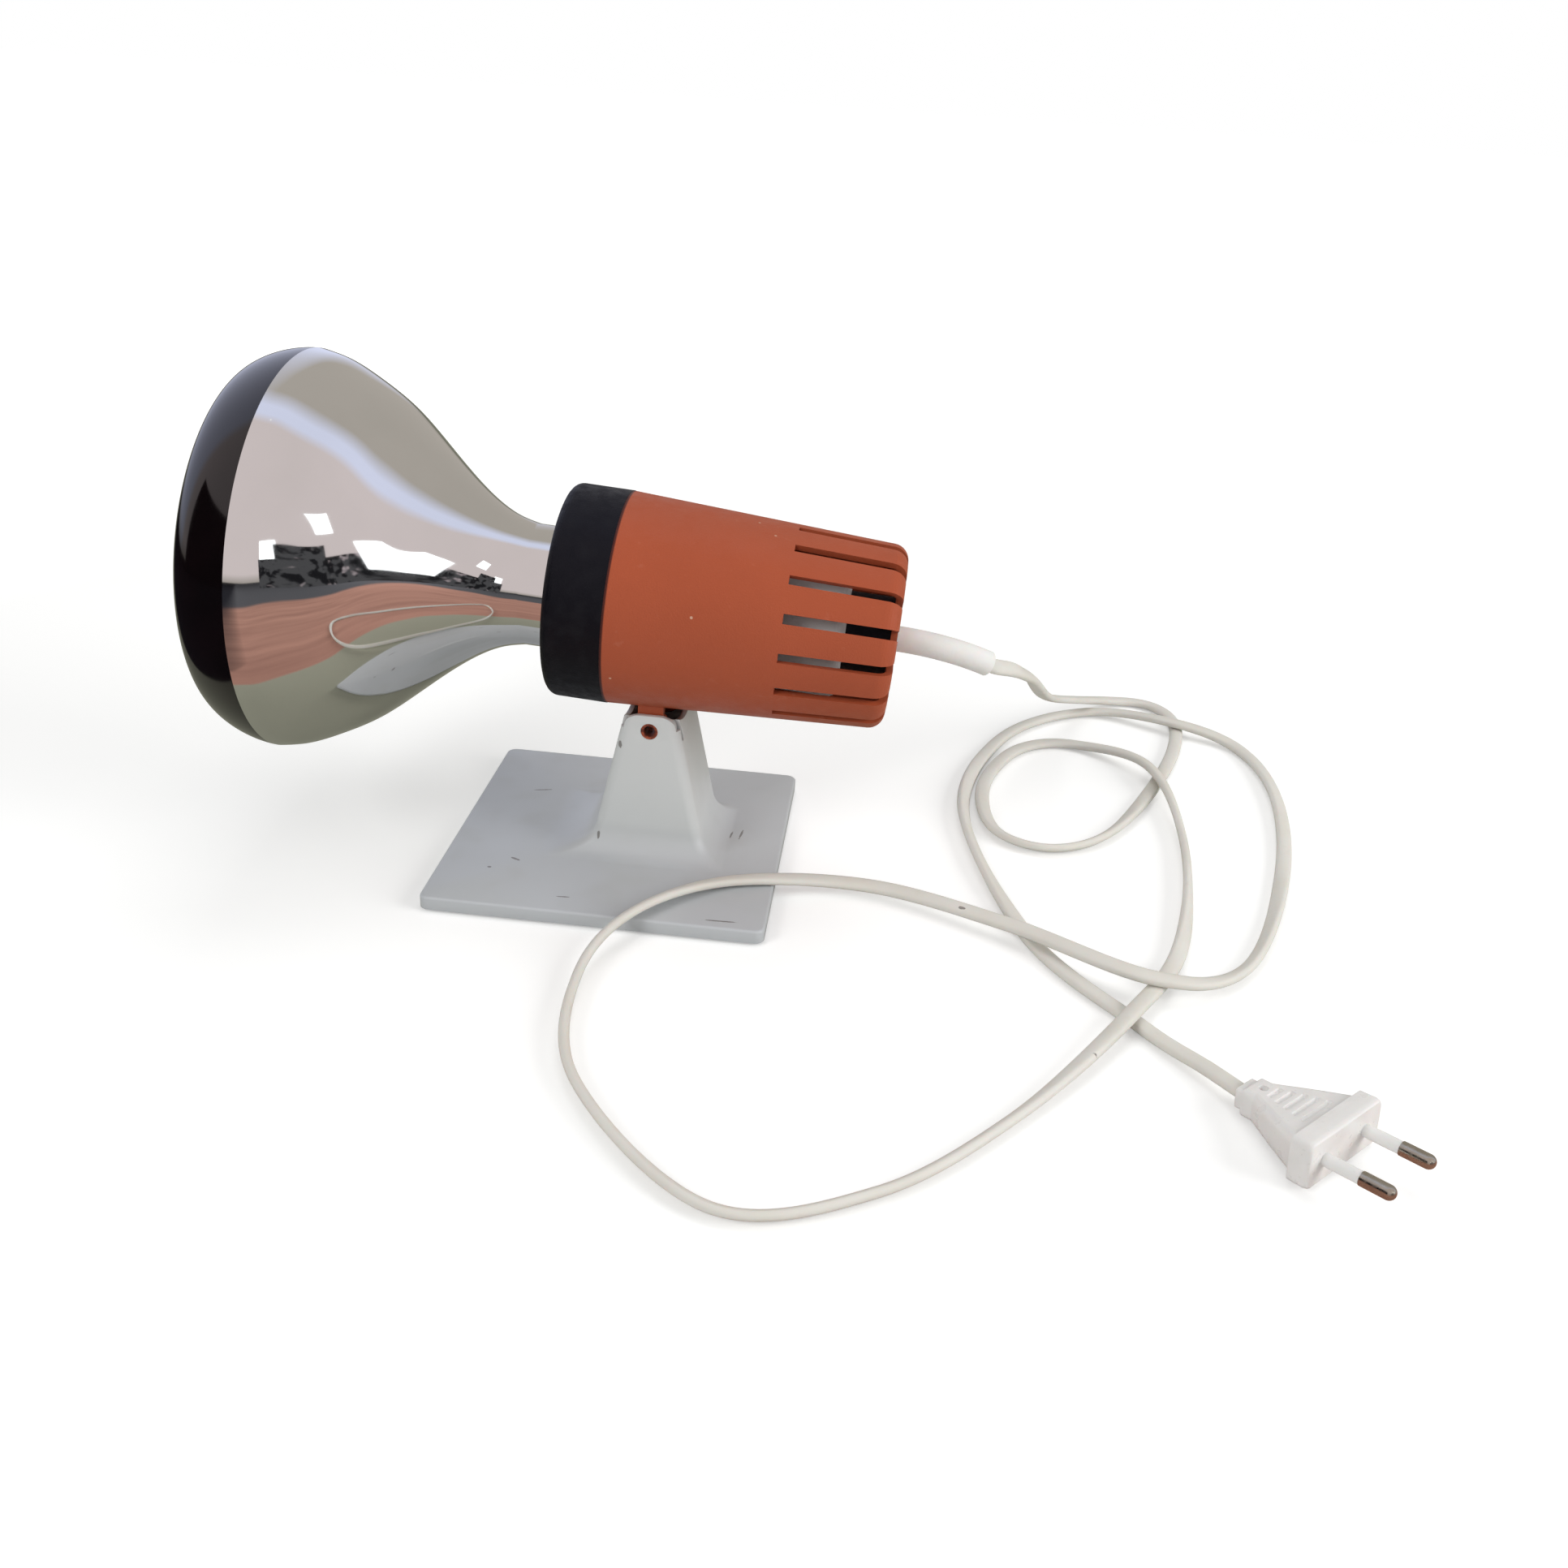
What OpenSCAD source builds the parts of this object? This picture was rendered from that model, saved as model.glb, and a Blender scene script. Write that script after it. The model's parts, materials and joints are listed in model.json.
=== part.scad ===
// Table spotlight: a big reflector lamp in a tapered housing that tilts on a sheet-metal stand.
// Millimetres. +Z up, +X towards the cord end of the head, the lamp shines towards -X.
// The origin is the middle of the base plate, on the surface that the spotlight stands on.

/* [Stand] */
// Side of the square base plate
plate_side = 108; // [100:1:120]
// Height of the plate's rim above the table
plate_rim_h = 5; // [4.6:0.1:5.6]
// Radius of the plate's upright corners
plate_corner_r = 3; // [2.2:0.1:5]
// Thickness of the pressed sheet
sheet_t = 1.6; // [1.2:0.1:1.8]
// Height of the plate's top where the column's foot starts
foot_h = 6.3; // [6.2:0.1:6.8]
// Height over which the column's foot flares
foot_flare_h = 9; // [7:0.5:12]
// Reach of the foot's flare under the lamp side of the column
foot_reach_lamp = 18; // [12:1:22]
// Reach of the foot's flare on the cord side of the column
foot_reach_cord = 7; // [4:0.5:10]
// Reach of the foot's flare in front of and behind the column
foot_reach_side = 8; // [5:0.5:10]
// Distance of the column's middle from the middle of the plate
column_x = 11; // [6:0.5:14]
// Width of the column at hinge height
column_w = 19; // [18:0.5:22]
// Depth of the column from cheek to cheek
column_d = 34; // [32:0.5:38]
// Radius of the column's upright edges
column_corner_r = 3.5; // [2.5:0.1:4.5]
// Spread of each narrow side for each unit of height
column_batter = 0.22; // [0.15:0.01:0.25]
// Height of the rounded cheek tops
cheek_top = 56.3; // [55.5:0.1:57]
// Radius of the cheek's top corners
cheek_corner_r = 5; // [3:0.5:6]
// Lowest point of the curved top of the narrow sides
saddle_h = 51.4; // [49:0.2:52]
// Radius of that curved top
saddle_r = 30.5; // [28:0.5:36]
// Width of the slits that free the cheeks
slit_w = 1.2; // [0.8:0.1:1.6]
// Height of the slits' round ends
slit_foot_h = 48.4; // [46:0.2:49]
// Radius of the slits' round ends
slit_end_r = 1.2; // [0.9:0.1:1.5]

/* [Underside] */
// Thickness of the steel slab in the plate
ballast_t = 2; // [1.2:0.1:2.2]
// Gap between the slab and the rim
ballast_gap = 0.4; // [0.2:0.1:1]
// Thickness of the felt sheet
felt_t = 1; // [0.8:0.1:1.2]
// Gap between the table and the rim's lower edge
rim_clear = 0.6; // [0.3:0.1:0.7]

/* [Hinge] */
// Height of the tilt axis
hinge_h = 51; // [50:0.2:52]
// Radius of the cheek holes
hinge_hole_r = 2.75; // [2.5:0.05:3]
// Running clearance of the trunnions in the cheek holes
hinge_clear = 0.05; // [0.02:0.01:0.1]
// Radius of the bore through a trunnion
trunnion_bore_r = 1.8; // [1.4:0.1:2]
// How far a trunnion stops short of the cheek's outer face
trunnion_recess = 0.3; // [0.1:0.1:0.6]
// Gap between the lug and the cheeks
lug_gap = 0.35; // [0.3:0.05:0.6]
// Thickness of each arm of the lug
lug_arm_t = 3; // [2.4:0.1:4]
// Radius of the lug's lower end
lug_end_r = 6; // [5.4:0.1:6.4]
// Width of the lug's arms above the hinge
lug_w = 8; // [7:0.2:8.2]
// Thickness of the web between the arms
lug_web_t = 2.4; // [1.6:0.2:4]

/* [Head] */
// Place of the collar joint along X
joint_x = -1.4; // [-4:0.2:2]
// Height of the head's axis at the collar joint
joint_h = 88.5; // [88:0.1:90]
// Droop of the head's axis towards the cord
head_droop = 3.5; // [2:0.1:4]
// Length of the housing
housing_len = 86.8; // [84:0.2:92]
// Radius of the housing at the collar
housing_front_r = 33.2; // [32.6:0.1:33.4]
// Radius of the housing where its rear edge starts to round
housing_rear_r = 28.8; // [28:0.1:30]
// Radius of the housing's rounded rear edge
housing_edge_r = 5; // [4:0.2:7]
// Wall of the housing
housing_wall = 2; // [1.6:0.1:2.4]
// Number of cooling slots
slot_count = 16; // [12:2:18]
// Width of a slot
slot_w = 3; // [2.4:0.1:3.4]
// Distance from the collar joint to the slots' front ends
slot_start = 52.5; // [48:0.5:60]
// Radius on the rear wall at which the slots end
slot_root_r = 14; // [12:0.5:18]

/* [Collar] */
// Length of the collar ring
collar_len = 18.4; // [16:0.2:20]
// Radius of the collar ring
collar_r = 33.3; // [33:0.1:34]
// Radius of its rounded front edge
collar_edge_r = 3; // [2:0.2:4]
// Wall of the collar ring
collar_wall = 2.4; // [2:0.1:3]
// Length of the spigot that snaps into the housing
spigot_len = 6; // [4:0.5:8]
// Gap around the spigot
spigot_gap = 0.3; // [0.2:0.05:0.5]
// Gap between the collar's front opening and the lamp's neck
neck_gap = 1.6; // [1:0.1:2.5]

/* [Lamp] */
// Largest diameter of the reflector lamp
lamp_d = 125; // [120:1:127]
// Distance from the collar joint to the lamp's front
lamp_reach = 125.5; // [122:0.5:128]
// Radius of curvature of the front glass
lamp_front_r = 210; // [180:5:260]
// Distance from the lamp's front to its silver edge
silver_edge = 25.2; // [22:0.2:27]
// Thickness of the glass
glass_t = 1.2; // [1:0.1:1.6]
// Width of the rounded shoulder at the rim of the front glass
shoulder_w = 10.5; // [9:0.5:12]
// Length of the round belly behind the silver edge
belly_len = 22.3; // [20:0.1:24]
// How far the lamp's radius shrinks over the belly
belly_drop = 9.4; // [8:0.2:11]
// Length of the hollow curve from the belly to the neck
hollow_len = 50; // [46:1:54]
// Diameter of the neck
neck_d = 38; // [36:0.5:39]
// Distance from the collar joint to where the neck ends
neck_end = 14; // [10:0.5:16]
// Distance from the collar joint to the front of the glass stem
stem_reach = 30; // [24:1:36]
// Radius of the stem's front end
stem_r = 2.6; // [2:0.1:3]
// Length of a lead wire
lead_len = 22; // [18:1:26]
// Gap between the lead wires where they leave the stem
lead_gap = 2.6; // [2:0.1:3]
// Angle between a lead wire and the axis
lead_angle = 15; // [10:1:20]
// Radius of a lead wire
lead_r = 0.4; // [0.3:0.05:0.5]
// Gap between the stem and the lead wires
lead_clear = 0.12; // [0.12:0.02:0.3]
// Radius of the filament's coil
filament_r = 0.7; // [0.5:0.1:0.9]

/* [Screw cap] */
// Radius of the screw cap
cap_r = 13.2; // [13:0.05:13.2]
// Distance from the collar joint to the front of the screw cap
cap_start = 28; // [27:0.2:29]
// Length of the screw cap's threaded shell
cap_len = 22; // [20:0.2:22]
// Thickness of the cap's metal
cap_t = 0.6; // [0.5:0.05:0.8]
// Radius of the cap's flared skirt
cap_skirt_r = 15.8; // [15.2:0.1:16]
// Length of that skirt
cap_skirt_len = 5; // [4:0.2:6]
// Height of the glass insulator
insulator_h = 3.5; // [3:0.1:3.8]
// Radius of the contact pip
pip_r = 4.2; // [3.6:0.1:4.8]
// Height of the contact pip
pip_h = 1.2; // [1:0.1:1.4]

/* [Lampholder] */
// Radius of the lampholder
holder_r = 21; // [20:0.1:21.6]
// Wall of the front sleeve
holder_wall = 3.4; // [2.6:0.1:3.6]
// Distance from the collar joint to the front of the holder
holder_start = 22; // [20:0.5:22]
// Place of the joint between the front sleeve and the rear cap
holder_split = 57.5; // [57.5:0.1:58.5]
// Distance from the collar joint to the rear of the holder
holder_end = 71; // [70.5:0.1:71.5]
// Gap between lamp cap and the holder's threaded shell
thread_gap = 0.3; // [0.3:0.05:0.5]
// Thickness of the threaded shell
shell_t = 0.6; // [0.5:0.1:0.8]
// Thickness of the porcelain insert
insert_t = 5; // [4:0.5:5.5]
// Radius of the M10 nipple
nipple_r = 5; // [4.8:0.05:5]
// Wall of the nipple
nipple_wall = 0.9; // [0.7:0.05:0.9]
// Width across the flats of the nipple's nuts
nut_af = 14; // [13:0.5:17]
// Height of those nuts
nut_h = 3; // [2.5:0.5:3.5]
// Outer radius of the spacer tube behind the holder
spacer_r = 12.6; // [12.4:0.1:13]
// Wall of the spacer tube
spacer_wall = 2.4; // [1.6:0.2:2.4]
// Side of a terminal block
terminal_w = 6; // [5:0.5:7]
// Distance of the terminals from the axis
terminal_x = 9; // [8:0.5:10]
// Radius of a terminal screw
terminal_screw_r = 1.5; // [1.2:0.1:1.6]

/* [Sleeve] */
// Outer radius of the bend sleeve
sleeve_r = 4; // [3.6:0.1:4]
// Wall of the bend sleeve
sleeve_wall = 1.3; // [1:0.05:1.35]
// Radius of the curve in which it hangs
sleeve_bend_r = 60; // [60:1:70]
// Angle through which it bends
sleeve_bend = 30; // [28:1:31]
// Direction of that bend, from straight down towards the back
sleeve_turn = 43; // [36:1:50]
// Gap between the holder's inner floor and the sleeve's inner end
sleeve_gap = 7.8; // [5:0.2:9]

/* [Cord] */
// Width of the flat cord
cord_w = 5.2; // [4.6:0.1:5.3]
// Thickness of the flat cord
cord_t = 2.9; // [2.6:0.1:3]
// Free end of the cord that the head carries beyond the sleeve
stub_len = 2.5; // [1.5:0.5:3]
// Radius of an insulated wire inside the holder
core_r = 1; // [0.8:0.1:1.1]

/* [Plug] */
// Length of the plug's body
plug_len = 30; // [28:1:34]
// Width of the plug's front rim
plug_w = 33; // [31:0.5:35]
// Thickness of the plug's front rim
plug_t = 13.7; // [13:0.1:14]
// Length of the front rim
plug_rim_len = 6; // [5:0.5:7]
// Width of the body just behind the rim
plug_body_w = 30; // [28:0.5:30.5]
// Width of the plug's tail
plug_tail_w = 10; // [9:0.5:12]
// Thickness of the plug's tail
plug_tail_t = 8.4; // [7.4:0.2:9]
// Distance between the two pins
pin_pitch = 18.6; // [18:0.1:19]
// Radius of a pin
pin_r = 2; // [1.9:0.05:2.1]
// Length of a pin in front of the rim
pin_len = 19; // [18:0.5:20]
// Length of the insulated part of a pin
pin_sleeve_len = 10; // [9:0.5:10.5]
// Radius of that insulation
pin_sleeve_r = 1.8; // [1.7:0.05:1.8]
// Radius of the metal under the insulation
pin_core_r = 1.4; // [1.2:0.1:1.6]
// Depth of the pins' roots in the plug's body
pin_root = 8; // [6:0.5:10]
// Direction in which the plug points
plug_yaw = -45; // [-50:1:-40]

/* [Hidden] */
$fn = 96;

// Small overlap that lets a cut run past a face
eps = 0.02;
// Gap between the plug and the table
plug_lift = 0.1;
plate_half = plate_side / 2;
cheek_out = column_d / 2;
cheek_in = cheek_out - sheet_t;
lug_out = cheek_in - lug_gap;
flare_top = foot_h + foot_flare_h;
column_top = cheek_top + 1;
plate_edge_round = 0.9;
slit_y = cheek_out - column_corner_r;
trunnion_r = hinge_hole_r - hinge_clear;
ballast_z = felt_t;
lamp_r = lamp_d / 2;
neck_r = neck_d / 2;
cap_end = cap_start + cap_len;
pip_end = cap_end + insulator_h + pip_h;
shell_in = cap_r + thread_gap;
shell_out = shell_in + shell_t;
holder_in = holder_r - holder_wall;
insert_front = holder_split - 0.5;
insert_rear = insert_front + insert_t;
cap_floor = holder_end - 2;
nipple_from = cap_floor - 1;
wall_front = housing_len - housing_wall;

// Route of the free cord: points on its middle line from the head to the plug, chosen by hand.
// It falls from the head, lies on the table, climbs over the plate's front corner and crosses itself.
lie_h = cord_t / 2;
hump_h = 1.5 * cord_t + 0.5;
route = [
    [118, 7, 74], [129, 20, 67.5], [137, 58, 47.5], [147, 100, 26], [167, 147, 6.5], [185, 161, lie_h],
    [200, 157, lie_h], [205, 136, lie_h], [195, 96, lie_h], [170, 41, lie_h], [147, 23, lie_h],
    [130, 34, lie_h], [124, 68, lie_h], [138, 101, lie_h], [161, 113, lie_h], [187, 91, 5.4],
    [196, 40, lie_h], [184, -30, lie_h], [160, -76, hump_h], [130, -126, lie_h], [94, -160, lie_h],
    [54, -169, lie_h], [14, -125, lie_h], [2, -83, 2.2], [14, -54, 7.4], [42, -29, 7.8],
    [85, -16, 3.5], [130, -33, hump_h], [171, -58, 7.2], [205, -42, lie_h], [228, 22, lie_h],
    [239, 82, lie_h], [233, 126, lie_h], [205, 140, hump_h], [169, 146, lie_h], [134, 112, lie_h],
    [115, 46, lie_h], [134, -34, lie_h], [166, -77, lie_h], [181, -95, 3]
];
// Rise of the plug's axis, which rests on the rear edge of its rim and on its tail
plug_pitch = atan((plug_t - plug_tail_t) / 2 / (plug_len - plug_rim_len));
// Tail of the plug's body, where the cord goes in
plug_tail = [189, -106, plug_tail_t / 2 * cos(plug_pitch) + plug_lift];
cord_sides = 8;
cord_steps = 2;

// Frame of the head: +Z runs along its axis from the collar joint to the cord, +X points down
module on_head() {
    translate([joint_x, 0, joint_h]) rotate([0, 90 + head_droop, 0]) children();
}

// Frame of the plug: +X runs from its tail to its pins, +Y is across the pins
module on_plug() {
    translate(plug_tail) rotate([0, 0, plug_yaw]) rotate([0, -plug_pitch, 0]) children();
}

// Solid of revolution around the head's axis from points [radius, distance from the collar joint]
module turned(points) {
    on_head() rotate_extrude() polygon(points);
}

// Plain tube around the head's axis
module tube(r_out, r_in, from, to) {
    turned([[r_in, from], [r_out, from], [r_out, to], [r_in, to]]);
}

// Arc of points about a centre
function arc(cx, cy, r, a0, a1, n) =
    [for (i = [0:n]) [cx + r * cos(a0 + (a1 - a0) * i / n), cy + r * sin(a0 + (a1 - a0) * i / n)]];

// Cubic curve through two end points with two pull points, without its first point
function curve(p, q, r, s, n) =
    [for (i = [1:n]) let (t = i / n, u = 1 - t)
        u * u * u * p + 3 * u * u * t * q + 3 * u * t * t * r + t * t * t * s];

// Unit vector
function unit(v) = v / norm(v);

// Points moved to the left of the direction in which they run
function shifted(p, d) =
    [for (i = [0:len(p) - 1])
        let (a = p[max(i - 1, 0)], b = p[min(i + 1, len(p) - 1)], t = unit(b - a))
        [max(p[i][0] - t[1] * d, 0), p[i][1] + t[0] * d]];

function backwards(p) = [for (i = [len(p) - 1:-1:0]) p[i]];

// Ring of points of a rectangle with round corners, given its four sides and its height
function ring(xl, xr, hy, r, z, n = 4) =
    [for (c = [0:3], i = [0:n])
        let (a = 90 * c + 90 * i / n,
             cx = (c == 0 || c == 3) ? xr - r : xl + r,
             cy = (c < 2) ? hy - r : -hy + r)
        [cx + r * cos(a), cy + r * sin(a), z]];

// Closed solid through rings with the same number of points; the last ring meets the first again
module rings_closed(rings) {
    n = len(rings[0]);
    m = len(rings);
    polyhedron(
        points = [for (g = rings) each g],
        faces = [for (i = [0:m - 1], j = [0:n - 1])
            let (i2 = (i + 1) % m, j2 = (j + 1) % n)
            each [[i * n + j, i2 * n + j, i2 * n + j2], [i * n + j, i2 * n + j2, i * n + j2]]],
        convexity = 8);
}

// Half width of the column's straight part, measured from its middle
function column_half(z) = column_w / 2 + (hinge_h - z) * column_batter;

// Part of the flare's reach that is left at a height: a quarter of an ellipse
function flare(z) = let (h = min(max((z - foot_h) / foot_flare_h, 0), 1)) 1 - sqrt(1 - (1 - h) * (1 - h));

// Ring of the column at a height, moved inwards by a wall and down by a drop
function column_ring(z, wall, drop) = ring(
    column_x - column_half(z) - foot_reach_lamp * flare(z) + wall,
    column_x + column_half(z) + foot_reach_cord * flare(z) - wall,
    cheek_out + foot_reach_side * flare(z) - wall,
    column_corner_r - min(wall, sheet_t), z - drop);

// Stand: square plate with a shallow top that flares into a hollow column, all one pressing
module stand() {
    flare_zs = [for (i = [0:8]) foot_h + foot_flare_h * (i / 8) * (i / 8)];
    straight_zs = [for (s = [0.2, 0.5, 0.7, 1]) flare_top + s * (column_top - flare_top)];
    edge_zs = [[rim_clear, 0], [plate_rim_h - plate_edge_round, 0],
               [plate_rim_h - plate_edge_round / 3, plate_edge_round / 3], [plate_rim_h, plate_edge_round]];
    inner_half = plate_half - sheet_t;
    outer = concat(
        [for (e = edge_zs) let (half = plate_half - e[1]) ring(-half, half, half, plate_corner_r, e[0])],
        [for (z = flare_zs) column_ring(z, 0, 0)],
        [for (z = straight_zs) column_ring(z, 0, 0)]);
    inner = concat(
        [ring(-inner_half, inner_half, inner_half, plate_corner_r - sheet_t, rim_clear),
         ring(-inner_half, inner_half, inner_half, plate_corner_r - sheet_t, plate_rim_h - sheet_t)],
        [for (z = flare_zs) column_ring(z, sheet_t * (z - foot_h) / foot_flare_h,
            sheet_t * (flare_top - z) / foot_flare_h)],
        [for (z = straight_zs) column_ring(z, sheet_t, 0)]);
    color([0.86, 0.86, 0.84]) difference() {
        rings_closed(concat(outer, backwards(inner)));
        cheek_cuts();
        saddle_cut();
        for (side = [-1, 1]) translate([0, side * (slit_y - slit_w / 2), 0]) slit_cut();
        translate([column_x, 0, hinge_h]) rotate([90, 0, 0])
            cylinder(r = hinge_hole_r, h = column_d + 4, center = true);
    }
}

// What is cut from the cheeks to round their top corners
module cheek_cuts() {
    top_half = column_half(cheek_top);
    corner_x = top_half - cheek_corner_r;
    corner_z = cheek_top - cheek_corner_r;
    for (side = [0, 180]) translate([column_x, 0, 0]) rotate([0, 0, side]) translate([0, cheek_out + 1, 0])
        rotate([90, 0, 0]) linear_extrude(1 + column_corner_r) difference() {
            translate([-column_w, corner_z]) square([2 * column_w, 10]);
            translate([-corner_x, corner_z - 1]) square([2 * corner_x, cheek_corner_r + 1]);
            for (s = [-1, 1]) translate([s * corner_x, corner_z]) circle(cheek_corner_r);
        }
}

// What is cut from the narrow sides to leave room for the round housing
module saddle_cut() {
    intersection() {
        translate([column_x, 0, saddle_h + saddle_r]) rotate([0, 90, 0])
            cylinder(r = saddle_r, h = 2 * column_w, center = true);
        translate([column_x - column_w, -slit_y, saddle_h - 1]) cube([2 * column_w, 2 * slit_y, column_top]);
    }
}

// One slit through both narrow sides, with a round end
module slit_cut() {
    translate([column_x - column_w, -slit_w / 2, slit_foot_h]) cube([2 * column_w, slit_w, column_top]);
    translate([column_x, 0, slit_foot_h]) rotate([0, 90, 0])
        cylinder(r = slit_end_r, h = 2 * column_w, center = true, $fn = 24);
}

// Square with round corners, laid on its middle
module slab(half, r, t) {
    linear_extrude(t) union() {
        square([2 * half, 2 * (half - r)], center = true);
        square([2 * (half - r), 2 * half], center = true);
        for (x = [-1, 1], y = [-1, 1]) translate([x * (half - r), y * (half - r)]) circle(r, $fn = 24);
    }
}

// Steel slab cemented into the plate
module ballast_plate() {
    color([0.45, 0.46, 0.48]) translate([0, 0, ballast_z])
        slab(plate_half - sheet_t - ballast_gap, plate_corner_r - sheet_t, ballast_t);
}

// Felt sheet glued under the slab
module felt_sheet() {
    color([0.25, 0.3, 0.27])
        slab(plate_half - sheet_t - ballast_gap, plate_corner_r - sheet_t, felt_t);
}

// Outline of the housing's wall, from points [radius, distance]
function housing_outer() = concat(
    [[housing_front_r, 0]],
    arc(housing_rear_r - housing_edge_r, housing_len - housing_edge_r, housing_edge_r, 3, 90, 8));
function housing_inner() = concat(
    [[housing_front_r - housing_wall, 0]],
    arc(housing_rear_r - housing_edge_r, housing_len - housing_edge_r, housing_edge_r - housing_wall,
        3, 90, 8));

// Housing: tapered shell with slots that run over its rear edge, and the hinge lug under it
module housing() {
    hole_r = nipple_r + 0.05;
    color([0.62, 0.3, 0.17]) difference() {
        union() {
            turned(concat(housing_outer(), [[hole_r, housing_len], [hole_r, wall_front]],
                backwards(housing_inner())));
            difference() {
                hinge_lug();
                turned(concat([[0, 0]], housing_inner(), [[0, wall_front]]));
            }
        }
        on_head() for (k = [0:slot_count - 1]) rotate([0, 0, k * 360 / slot_count])
            translate([slot_root_r, -slot_w / 2, slot_start]) cube([housing_front_r, slot_w, housing_len]);
        translate([column_x, 0, hinge_h]) rotate([90, 0, 0])
            cylinder(r = trunnion_bore_r, h = column_d, center = true);
    }
}

// Lug: two arms and a web under the housing, with a hollow trunnion on each arm
module hinge_lug() {
    lug_top = joint_h - housing_front_r + 8;
    for (side = [-1, 1]) translate([column_x, side * (lug_out - lug_arm_t / 2), 0]) rotate([90, 0, 0])
        translate([0, 0, -lug_arm_t / 2]) linear_extrude(lug_arm_t) union() {
            translate([0, hinge_h]) circle(lug_end_r);
            translate([-lug_w / 2, hinge_h]) square([lug_w, lug_top - hinge_h]);
        }
    translate([column_x - lug_web_t / 2, -lug_out + lug_arm_t / 2, hinge_h - lug_end_r / 2])
        cube([lug_web_t, 2 * lug_out - lug_arm_t, lug_top - hinge_h]);
    for (side = [-1, 1]) translate([column_x, side * (lug_out - 1), hinge_h])
        rotate([-90 * side, 0, 0]) cylinder(r = trunnion_r, h = 1 + lug_gap + sheet_t - trunnion_recess);
}

// Collar ring: black rim around the lamp's neck, snapped into the housing
module collar_ring() {
    inner = collar_r - collar_wall;
    snap_r = housing_front_r - housing_wall - spigot_gap;
    opening = neck_r + neck_gap;
    color([0.07, 0.07, 0.07]) turned(concat(
        [[opening, -collar_len]],
        arc(collar_r - collar_edge_r, -collar_len + collar_edge_r, collar_edge_r, -90, 0, 6),
        [[collar_r, 0], [snap_r, 0], [snap_r, spigot_len], [snap_r - collar_wall / 2, spigot_len],
         [snap_r - collar_wall / 2, 0], [inner, -3], [inner, -collar_len + collar_wall],
         [opening, -collar_len + collar_wall]]));
}

// Outside of the lamp's glass, in three stretches of points [radius, distance]
silver_at = -lamp_reach + silver_edge;
silver_r = lamp_r - 0.4;
front_half_r = lamp_r - shoulder_w;
front_at = lamp_front_r - sqrt(lamp_front_r * lamp_front_r - front_half_r * front_half_r) - lamp_reach;
belly_end = silver_at + belly_len;
belly_end_r = lamp_r - belly_drop;
// Front glass: a shallow dome and the first part of the shoulder
dome = [for (i = [0:5]) let (r = front_half_r * i / 5)
    [r, -lamp_reach + lamp_front_r - sqrt(lamp_front_r * lamp_front_r - r * r)]];
shoulder = curve([front_half_r, front_at], [front_half_r + 0.55 * shoulder_w, front_at + 1.5],
    [silver_r - 0.2, silver_at - 7], [silver_r, silver_at], 7);
// Reflector: from the silver edge over the belly and down to the neck
belly = curve([silver_r, silver_at], [silver_r + 0.6, silver_at + 0.27 * belly_len],
    [lamp_r - 0.6 * belly_drop, silver_at + 0.69 * belly_len], [belly_end_r, belly_end], 8);
hollow = curve([belly_end_r, belly_end], [belly_end_r - 6.1, belly_end + 0.26 * hollow_len],
    [neck_r, belly_end + 0.67 * hollow_len], [neck_r, belly_end + hollow_len], 12);
neck = concat([[neck_r, neck_end]],
    curve([neck_r, neck_end], [neck_r, neck_end + 5], [cap_r, neck_end + 5],
        [cap_r - cap_t, cap_start - 1], 6),
    [[cap_r - cap_t, cap_start + 5]]);
// Both walls of the whole bulb; its two pieces meet where the silver starts
bulb_outer = concat(dome, shoulder, belly, hollow, neck);
bulb_inner = shifted(bulb_outer, glass_t);
silver_from = len(dome) + len(shoulder) - 1;

// Closed wall between two points of the bulb's outline
module bulb_part(from, to) {
    turned(concat([for (i = [from:to]) bulb_outer[i]], [for (i = [to:-1:from]) bulb_inner[i]]));
}

// Silvered glass body of the lamp
module lamp_reflector() {
    color([0.8, 0.8, 0.8]) bulb_part(silver_from, len(bulb_outer) - 1);
}

// Dark glossy front glass
module lamp_front_glass() {
    color([0.1, 0.03, 0.04]) bulb_part(0, silver_from);
}

// Glass stem inside the lamp that carries the filament
module lamp_stem() {
    foot_r = cap_r - cap_t - glass_t - 0.3;
    color([0.8, 0.85, 0.88]) turned([[0, -stem_reach], [stem_r, -stem_reach], [stem_r + 1, neck_end],
        [foot_r, cap_start + 2], [foot_r, cap_start + 4], [0, cap_start + 4]]);
}

// Lead wires from the stem to the filament
module filament_leads() {
    color([0.6, 0.6, 0.62]) on_head() for (s = [-1, 1])
        translate([0, s * lead_gap / 2, -stem_reach - lead_clear]) rotate([s * lead_angle, 0, 0])
            mirror([0, 0, 1]) cylinder(r = lead_r, h = lead_len, $fn = 16);
}

// Filament between the ends of the lead wires
module filament() {
    half = lead_gap / 2 + lead_len * sin(lead_angle) - 2 * lead_r;
    at = -stem_reach - lead_clear - lead_len * cos(lead_angle) + lead_r / 2;
    color([0.35, 0.35, 0.36]) on_head() translate([0, 0, at]) rotate([90, 0, 0])
        cylinder(r = filament_r, h = 2 * half, center = true, $fn = 16);
}

// Screw cap of the lamp
module lamp_screw_cap() {
    color([0.75, 0.72, 0.62]) turned([
        [cap_r - cap_t, cap_start], [cap_skirt_r - cap_t, cap_start - cap_skirt_len],
        [cap_skirt_r, cap_start - cap_skirt_len], [cap_r, cap_start], [cap_r, cap_end],
        [cap_r - 1.2, cap_end], [cap_r - 1.2, cap_end - cap_t], [cap_r - cap_t, cap_end - cap_t]]);
}

// Black glass between the cap's shell and its contact
module cap_insulator() {
    color([0.05, 0.05, 0.06]) turned([[0, cap_end], [cap_r - 1.2, cap_end],
        [pip_r + 0.6, cap_end + insulator_h], [0, cap_end + insulator_h]]);
}

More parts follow.
